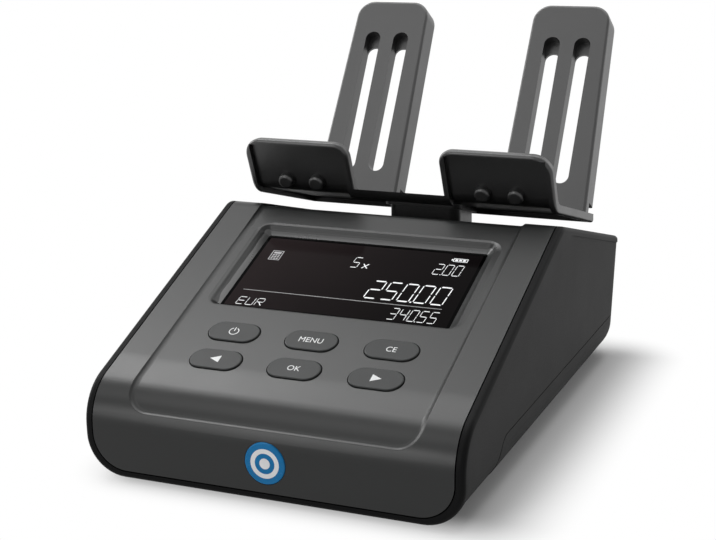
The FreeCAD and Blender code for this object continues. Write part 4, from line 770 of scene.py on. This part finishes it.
def aimed(part, foot, out):
    """A part made about +Z, turned so that +Z points out, with its origin on the foot."""
    points, faces = part
    turn = np.array(Vector(out).to_track_quat("Z", "Y").to_matrix())
    return points @ turn.T + np.asarray(foot, float), faces


def cross_slot(angle, head):
    """How far a plus-shaped recess reaches at an angle: the further of two crossing slots."""
    across, up = np.abs(np.cos(angle)) + 1e-9, np.abs(np.sin(angle)) + 1e-9
    reach = 0.58 * head
    half = reach * tan(radians(15))
    return np.maximum(np.minimum(reach / across, half / up),
                      np.minimum(half / across, reach / up))


def hex_socket(angle, head):
    """How far a six-sided recess reaches: its flat over the cosine from its side's middle."""
    flat = 0.44 * head
    return flat / np.cos(angle % radians(60) - radians(30))


def screw(recess, head, high, shank, long, pitch):
    """A screw about +Z with its head's underside at zero.

    Rings run up the recess's wall, over a head that falls with the square of the radius, and
    down a shank. The shank's radius drops from crest to root and back once in each pitch of the
    helix, whose phase is the depth over the pitch plus the share of a turn. It fades in at the
    head and narrows to the tip.
    """
    angle = np.linspace(0, TURN, AROUND, endpoint=False)
    slot = recess(angle, head)
    crown = slot + np.array(CROWN_SHARES)[:, None] * (0.97 * head - slot)
    top = np.concatenate([0.82 * slot[None], crown, np.full((3, AROUND), head)])
    top[-1] = 0.97 * head
    rise = high * (1 - 0.28 * (crown / head) ** 2)
    low = np.array([0.66 * high, 0.04 * high, 0.0])[:, None] + 0 * angle
    lift = np.concatenate([np.full((1, AROUND), 0.38 * high), rise, low])
    down = np.linspace(0, 1, int(6 * long / pitch))[:, None] * long
    phase = (down / pitch + angle / TURN) % 1
    fade = np.clip(down / pitch, 0, 1)
    tip = np.clip((long - down) / (1.8 * pitch), 0, 1)
    rod = shank * (1 - 0.24 * fade * np.abs(2 * phase - 1)) * (0.45 + 0.55 * np.sqrt(tip))
    return turned(np.concatenate([top, rod]), np.concatenate([lift, -down + 0 * angle]))


# Screws: the node, its body, the recess, the head's radius and height, the shank's radius and
# length, the pitch, the way the head faces, and the places under the heads
SCREWS = (
    ("housing_screws", "casing", (cross_slot, 2.9, 1.7, 1.45, 12.0, 1.1), DOWN,
     ((-52, -61, 4.6), (52, -61, 4.6), (-52, 61, 4.6), (52, 61, 4.6))),
    ("board_screws", "casing", (cross_slot, 2.4, 1.2, 1.2, 5.6, 0.9), PANEL_UNDER,
     ((-50.9, -90.65, 31.2), (50.9, -90.65, 31.2),
      (-50.9, -21.71, 58.08), (50.9, -21.71, 58.08))),
    ("port_screws", "casing", (cross_slot, 2.4, 1.2, 1.2, 7.0, 0.9), -REAR_OUT,
     ((32, 71.71, 28.68), (-44, 71.71, 28.68))),
    ("post_screws", "platform", (cross_slot, 2.8, 1.2, 1.45, 13.0, 1.1), DOWN,
     ((-9, 42, 28.7), (9, 42, 28.7))),
    ("cell_bolts", "casing", (hex_socket, 3.4, 2.6, 2.0, 20.7, 0.7), UP,
     ((-29.5, 42, 26.7), (-36.5, 42, 26.7))),
    ("carrier_bolts", "platform", (hex_socket, 3.4, 2.6, 2.0, 17.7, 0.7), DOWN,
     ((36.5, 42, 14), (29.5, 42, 14))),
)


def fasteners(steel, black):
    """Screws with cross recesses, and the load cell's bolts with six-sided sockets."""
    for node, body, sizes, out, places in SCREWS:
        one = screw(*sizes)
        points, faces = joined([aimed(one, foot, out) for foot in places])
        finish = black if sizes[0] is hex_socket else steel
        name = node.replace("screws", "screw_set").replace("bolts", "bolt_set")
        piece = mesh_piece(name, points, faces, finish, body, "steel")
        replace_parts(piece, node)


def feet(rubber):
    """Round feet with a shallow dish and a rounded rim where they stand."""
    one = round_part(FOOT)
    points, faces = joined([aimed(one, foot, DOWN) for foot in FOOT_PLACES])
    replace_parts(mesh_piece("dished_feet", points, faces, rubber, "casing", "foot_rubber"),
                "rubber_feet")


def eased_path(stops, count):
    """A smooth path through stops of (up, out): half straight between two, half by a cosine."""
    stops = np.array(stops, float)
    at = np.linspace(0, len(stops) - 1, count)
    low = np.minimum(at.astype(int), len(stops) - 2)
    straight = at - low
    blend = (0.5 * (0.5 - 0.5 * np.cos(np.pi * straight)) + 0.5 * straight)[:, None]
    return stops[low] * (1 - blend) + stops[low + 1] * blend


def strip(path, wide, thick):
    """A sprung strip: an oblong across X, carried along a path of (up, out), square to it."""
    along = np.gradient(path, axis=0)
    along /= np.linalg.norm(along, axis=1)[:, None]
    side = np.column_stack([-along[:, 1], along[:, 0]]) * thick / 2
    rows = [np.column_stack([np.full(len(path), across * wide / 2), path + lift * side])
            for across, lift in ((-1, -1), (1, -1), (1, 1), (-1, 1))]
    return np.stack(rows, axis=1).reshape(-1, 3), rod_faces(len(path) - 1)


def in_port(part, across):
    """A part laid out as (across, up, out), carried to a rear socket's place."""
    points, faces = part
    axes = np.array([(1, 0, 0), REAR_UP, REAR_OUT])
    return (points + (across, 0, 0)) @ axes + PORT_MIDDLE, faces


def sockets(steel, brass, black):
    """What the rear sockets hold: a jack pin, a tongue and its contacts, and six springs."""
    pin = aimed(round_part(JACK_PIN), PORT_MIDDLE + (JACK_X, 0, 0), REAR_OUT)
    mesh_piece("jack_pin", *joined([pin]), steel, "casing", "socket_steel")

    angle = np.linspace(0, TURN, AROUND, endpoint=False)
    sides = [np.abs(run / half) ** TONGUE_SQUARE
             for run, half in zip((np.cos(angle), np.sin(angle)), TONGUE_HALF)]
    outline = sum(sides) ** (-1 / TONGUE_SQUARE)
    tongue = turned(np.array(TONGUE_SHARES) * outline, np.array(TONGUE_DEPTHS))
    mesh_piece("usb_tongue", *joined([in_port(tongue, DATA_X)]), black, "casing",
               "socket_black")

    plates = []
    for across in (-DATA_STEP, DATA_STEP):
        for side in (-1, 1):
            path = eased_path(DATA_PATH, 16) * (side, 1)
            plates.append(in_port(strip(path, *DATA_STRIP), DATA_X + across))
    mesh_piece("usb_contacts", *joined(plates), brass, "casing", "contact_brass")

    spring = strip(eased_path(PRINTER_PATH, 24), *PRINTER_STRIP)
    springs = [in_port(spring, PRINTER_X + PRINTER_STEP * (step - 2.5)) for step in range(6)]
    mesh_piece("printer_contacts", *joined(springs), brass, "casing", "contact_brass")


def wrapped_cells(wrap):
    """Two round cells side by side in shrink film.

    The section is a long round: a cell's radius over the sine where it is flat, a circle's edge
    beyond, drawn in a little between the cells. It is carried along the pack and turned in at
    both ends.
    """
    angle = np.linspace(0, TURN, 2 * AROUND, endpoint=False)
    level = CELL_RADIUS / (np.abs(np.sin(angle)) + 1e-9)
    end = CELL_APART * np.abs(np.cos(angle)) + np.sqrt(
        CELL_RADIUS ** 2 - (CELL_APART * np.sin(angle)) ** 2)
    flat = level * np.abs(np.cos(angle)) <= CELL_APART
    section = np.where(flat, level, end)
    section -= WAIST * np.exp(-((section * np.cos(angle)) / WAIST_REACH) ** 2)
    points, faces = turned(np.outer(PACK_SHARES, section), np.array(PACK_PLACES)[:, None])
    points, faces = joined([(points[:, [2, 0, 1]] + PACK_MIDDLE, faces)])
    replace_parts(mesh_piece("wrapped_cells", points, faces, wrap, "casing", "battery_wrap"),
                "battery_pack")


def fittings():
    """The small pieces that stand in for plain solids or line the sockets."""
    steel = metal("screw_steel", (0.55, 0.55, 0.55), 0.3)
    black = moulded("socket_tongue", (0.012, 0.012, 0.012), 0.35)
    brass = metal("sprung_contacts", (0.83, 0.62, 0.28), 0.25)
    dark = metal("blackened_steel", (0.09, 0.09, 0.095), 0.38)
    fasteners(steel, dark)
    sockets(steel, brass, black)
    feet(moulded("dished_rubber", (0.020, 0.020, 0.020), 0.8, 0.5 * MM, 0.05 * MM))
    wrapped_cells(moulded("shrink_film", (0.02, 0.09, 0.30), 0.22, 2.2 * MM, 0.03 * MM))


# Studio, in metres: the camera's axes are its right, its up and the way behind it

CAMERA_PLACE = (0.21490, -0.53064, 0.21108)
CAMERA_AXES = (
    (0.92033, 0.39061, -0.02042),
    (-0.08714, 0.25565, 0.96285),
    (0.38131, -0.88435, 0.26932),
)
SENSOR_MM, LENS_MM = 36, 76.57
SHIFT_X, SHIFT_Y = -0.0050, -0.0005
NEAREST = 0.01
WHITE_RAYS = ("Is Camera Ray", "Is Glossy Ray", "Is Transmission Ray")
WORLD_LEVEL = 0.02

# The floor: its half size and colour, and the oblong whose surroundings keep the shadow, how
# far out they do, and how white they are at the least
FLOOR_HALF = 60.0
FLOOR_WHITE = (0.80, 0.80, 0.80)
SHADOW_LOW = (-0.052, -0.098)
SHADOW_HIGH = (0.070, 0.070)
SHADOW_REACH = 0.032
SHADOW_WHITE = 0.05

# Softboxes: the name, the place, the side in metres and the watts
LAMPS_AIM = (0, 0, 0.05)
STUDIO_LAMPS = (
    ("upper_left", (-0.76, 0.18, 1.10), 0.4, 3.8),
    ("middle", (-0.44, 0.20, 1.10), 0.45, 2.6),
    ("left", (-1.30, 0.05, 0.55), 0.8, 9.0),
    ("rear", (0.20, 0.50, 1.15), 0.8, 3.6),
    ("top", (0.0, 0.0, 1.35), 0.8, 4.3),
    ("high_front", (-0.46, -0.70, 0.95), 0.5, 1.3),
    ("low_front", (-0.5, -1.2, 0.35), 0.4, 3.2),
    ("behind", (0.9, 0.95, 0.6), 0.8, 3.5),
)


def camera():
    """The photograph's camera."""
    data = bpy.data.cameras.new("camera")
    data.sensor_width = SENSOR_MM
    data.lens = LENS_MM
    data.shift_x = SHIFT_X
    data.shift_y = SHIFT_Y
    data.clip_start = NEAREST
    holder = bpy.data.objects.new("camera", data)
    turn = Matrix(CAMERA_AXES).transposed().to_4x4()
    holder.matrix_world = Matrix.Translation(CAMERA_PLACE) @ turn
    bpy.context.scene.collection.objects.link(holder)
    bpy.context.scene.camera = holder


def soft_lamp(name, place, side, watts):
    """A square softbox that faces the object."""
    data = bpy.data.lights.new(name, "AREA")
    data.shape = "SQUARE"
    data.size = side
    data.energy = watts
    lamp = bpy.data.objects.new(name, data)
    lamp.location = place
    lamp.rotation_mode = "QUATERNION"
    lamp.rotation_quaternion = (Vector(LAMPS_AIM) - Vector(place)).to_track_quat("-Z", "Y")
    bpy.context.scene.collection.objects.link(lamp)


def white_world():
    """An even grey light, seen as white by the camera and in gloss and glass."""
    world = bpy.data.worlds.new("studio")
    bpy.context.scene.world = world
    world.use_nodes = True
    tree = world.node_tree
    path = tree.nodes.new("ShaderNodeLightPath")
    level = None
    for ray in WHITE_RAYS:
        node = tree.nodes.new("ShaderNodeMix")
        node.inputs["A"].default_value = WORLD_LEVEL
        node.inputs["B"].default_value = 1.0
        if level:
            tree.links.new(level, node.inputs["A"])
        tree.links.new(path.outputs[ray], node.inputs["Factor"])
        level = node.outputs["Result"]
    back = tree.nodes["Background"]
    back.inputs["Color"].default_value = (1, 1, 1, 1)
    tree.links.new(level, back.inputs["Strength"])


def floor():
    """A plain white table: it keeps the shadow round the object and is pure white beyond."""
    mesh = bpy.data.meshes.new("floor")
    corners = box_outline(-FLOOR_HALF, -FLOOR_HALF, FLOOR_HALF, FLOOR_HALF)
    mesh.from_pydata([(x, y, 0) for x, y in corners], [], [(0, 1, 2, 3)])
    table = bpy.data.objects.new("floor", mesh)
    bpy.context.scene.collection.objects.link(table)
    made = Finish("floor_white", Roughness=0.9, Base_Color=FLOOR_WHITE, Specular_IOR_Level=0.1)
    glow = made.add("Emission", {}, {"Color": (1, 1, 1), "Strength": 1.0})
    path = made.add("LightPath")
    seen = 0.0
    for ray in WHITE_RAYS:
        seen = made.math("MAXIMUM", Field(made, path.outputs[ray]), seen)
    squares = 0.0
    for along, low, high in zip((made.x, made.y), SHADOW_LOW, SHADOW_HIGH):
        past = made.math("MAXIMUM", made.math("MAXIMUM", along - high, low - along), 0)
        squares = past * past + squares
    share = made.eased(made.math("SQRT", squares), 0.0, SHADOW_REACH, SHADOW_WHITE, 1.0)
    mix = made.add("MixShader", {}, {
        0: seen * share, 1: made.shader.outputs[0], 2: glow.outputs[0]})
    made.give(made.tree.nodes["Material Output"], "Surface", mix.outputs[0])
    mesh.materials.append(made.material)


def studio():
    """The camera, the white surroundings and the lamps."""
    bpy.context.scene.view_settings.view_transform = "Standard"
    camera()
    white_world()
    floor()
    for lamp in STUDIO_LAMPS:
        soft_lamp(*lamp)


dress_frame()
display()
legends()
fittings()
studio()
